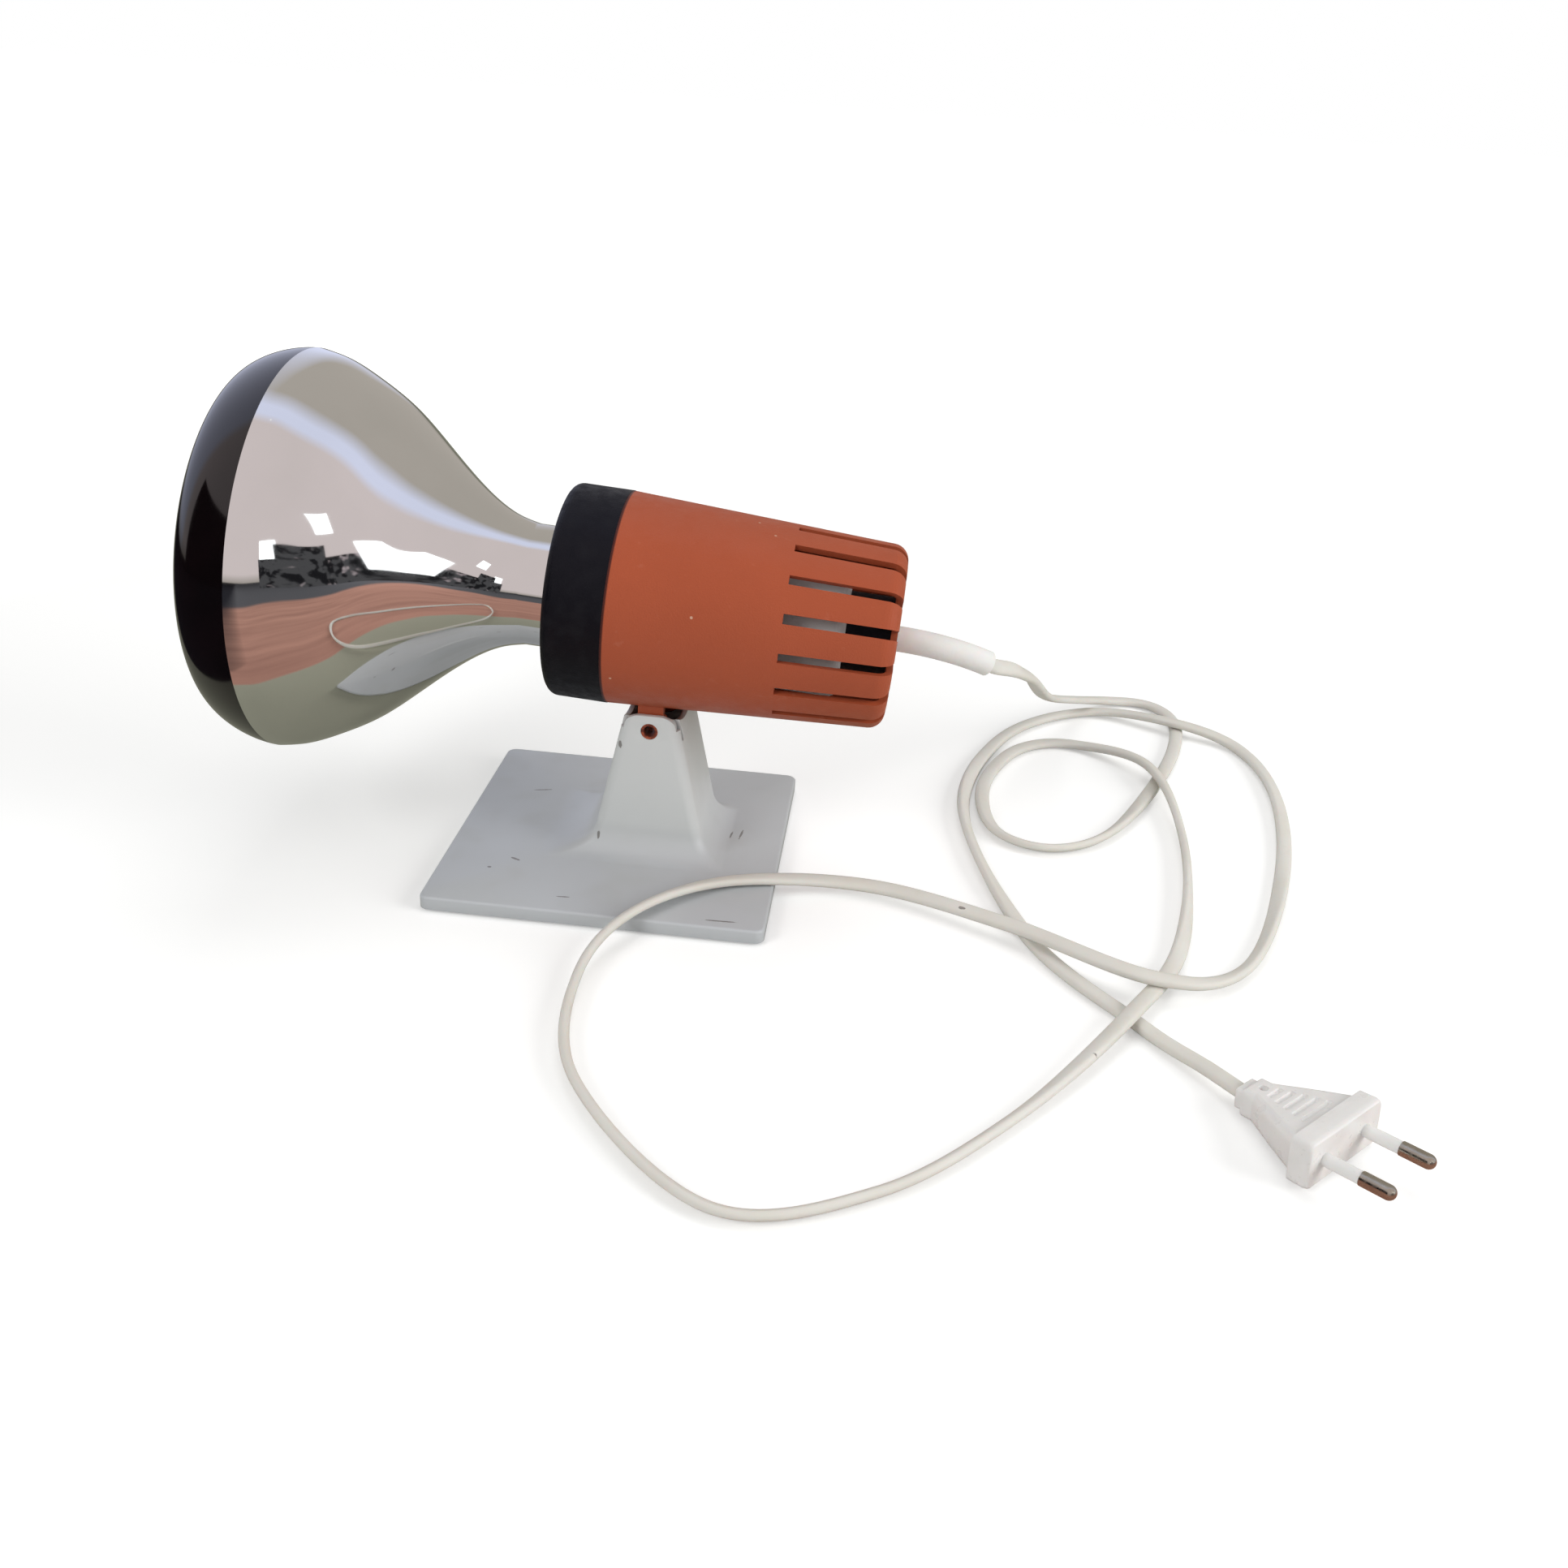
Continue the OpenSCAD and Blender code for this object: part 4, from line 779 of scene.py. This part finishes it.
# The surround is white for the camera, for reflections and through glass, and dimmer as light.
surround = bpy.data.worlds.new("surround")
scene.world = surround
surround.use_nodes = True
sky = surround.node_tree
seen = sky.nodes.new("ShaderNodeLightPath")
looked = sky.nodes.new("ShaderNodeMath")
looked.operation = "MAXIMUM"
sky.links.new(seen.outputs["Is Camera Ray"], looked.inputs[0])
sky.links.new(seen.outputs["Is Glossy Ray"], looked.inputs[1])
through = sky.nodes.new("ShaderNodeMath")
through.operation = "MAXIMUM"
sky.links.new(looked.outputs[0], through.inputs[0])
sky.links.new(seen.outputs["Is Transmission Ray"], through.inputs[1])
level = sky.nodes.new("ShaderNodeMapRange")
level.inputs["To Min"].default_value = 0.38
level.inputs["To Max"].default_value = 1.0
sky.links.new(through.outputs[0], level.inputs["Value"])
sky.links.new(level.outputs["Result"], sky.nodes["Background"].inputs["Strength"])
sky.nodes["Background"].inputs["Color"].default_value = (1, 1, 1, 1)


def glowing(name, colour):
    """Finish that only sends out light of its colour, also after its colour has been tinted."""
    made = Finish(name, colour, 1.0, Specular_IOR_Level=0.0)
    glow = made.add("Emission")
    glow.inputs["Color"].default_value = (*colour, 1)
    made.link(glow.outputs[0], made.tree.nodes["Material Output"].inputs["Surface"])
    made.glow = glow
    return made


def hidden(name, grid, finish):
    """Surface that only shows in the object's shiny surfaces."""
    made = skin(name, grid, around=False)
    made.visible_camera = made.visible_diffuse = False
    made.visible_transmission = made.visible_shadow = False
    dress(name, finish)
    if finish.colour is not None:
        finish.link(finish.colour, finish.glow.inputs["Color"])
    return made


def screen(name, radius, start, end, low, high, finish):
    """Upright screen that only reflections show: part of a cylinder round the object, between
    two azimuths in degrees and two heights."""
    turn = np.radians(np.linspace(start, end, 40))
    line = np.stack([radius * np.cos(turn), radius * np.sin(turn), 0 * turn], -1)
    return hidden(name, np.stack([line + [0, 0, low], line + [0, 0, high]]), finish)


# The room is a dome: a light wall in front, a cooler one behind, a dim one behind to the
# right, and a dim strip at the foot all round.
ROOM_R = 3
room = glowing("room", (0.70, 0.62, 0.62))
room.tint(room.reached(room.axis("Y"), -0.15, 0.15), (0.74, 0.78, 0.98))
behind_right = room.times(room.reached(room.axis("X"), -0.9, -0.3),
                          room.reached(room.axis("Y"), 0.45, 1.0))
room.tint(behind_right, (0.45, 0.415, 0.375))
room.tint(room.reached(room.axis("Z"), 0.25, 0.0), (0.3, 0.28, 0.24), 0.8)
rise, turn = np.meshgrid(np.radians(np.linspace(0, 89.5, 40)),
                         np.radians(np.linspace(0, 360, 97)), indexing="ij")
room_grid = ROOM_R * np.stack([np.cos(rise) * np.cos(turn), np.cos(rise) * np.sin(turn),
                               np.sin(rise)], -1)
furniture = glowing("furniture", (0.075, 0.075, 0.08))
furniture.tint(furniture.noise(0.09, 0.48, 0.56, 3), (0.012, 0.012, 0.014))
furniture.tint(furniture.noise(0.12, 0.62, 0.7, 2), (0.42, 0.36, 0.38))
dark_cloth = glowing("dark_cloth", (0.012, 0.012, 0.014))
window = glowing("window", (1.9, 1.95, 2.0))
hidden("room", room_grid, room)
screen("furniture", 1.1, 286, 345, 0.0, 0.3, furniture)
screen("tall_furniture", 1.15, 296, 313, 0.0, 0.46, furniture)
screen("wide_window", 1.3, 288, 298, 0.28, 0.56, window)
screen("high_window", 1.3, 311, 321, 0.66, 0.98, window)
screen("low_window", 1.05, 330, 339, 0.12, 0.42, window)
screen("dark_cloth", 1.2, 192, 252, 0.0, 0.75, dark_cloth)


def soft_lamp(name, place, aim, size, power):
    """Square lamp that faces a point: its own -Z axis along the line to it."""
    light = bpy.data.lights.new(name, "AREA")
    light.size, light.energy = size, power
    made = bpy.data.objects.new(name, light)
    scene.collection.objects.link(made)
    back = unit(np.array(place, float) - aim)
    across = unit(np.cross([0, 0, 1], back))
    pose = np.eye(4)
    pose[:3, :3] = np.stack([across, np.cross(back, across), back], 1)
    pose[:3, 3] = place
    made.matrix_world = Matrix(pose.tolist())
    made.visible_glossy = False


soft_lamp("key", (-0.75, -0.9, 0.8), (0.02, 0, 0.05), 0.6, 7.5)
soft_lamp("fill", (1.3, -0.3, 0.6), (0.02, 0, 0.05), 0.8, 12)
soft_lamp("top", (0.1, 0.5, 1.4), (0.05, 0, 0.05), 0.9, 4.5)
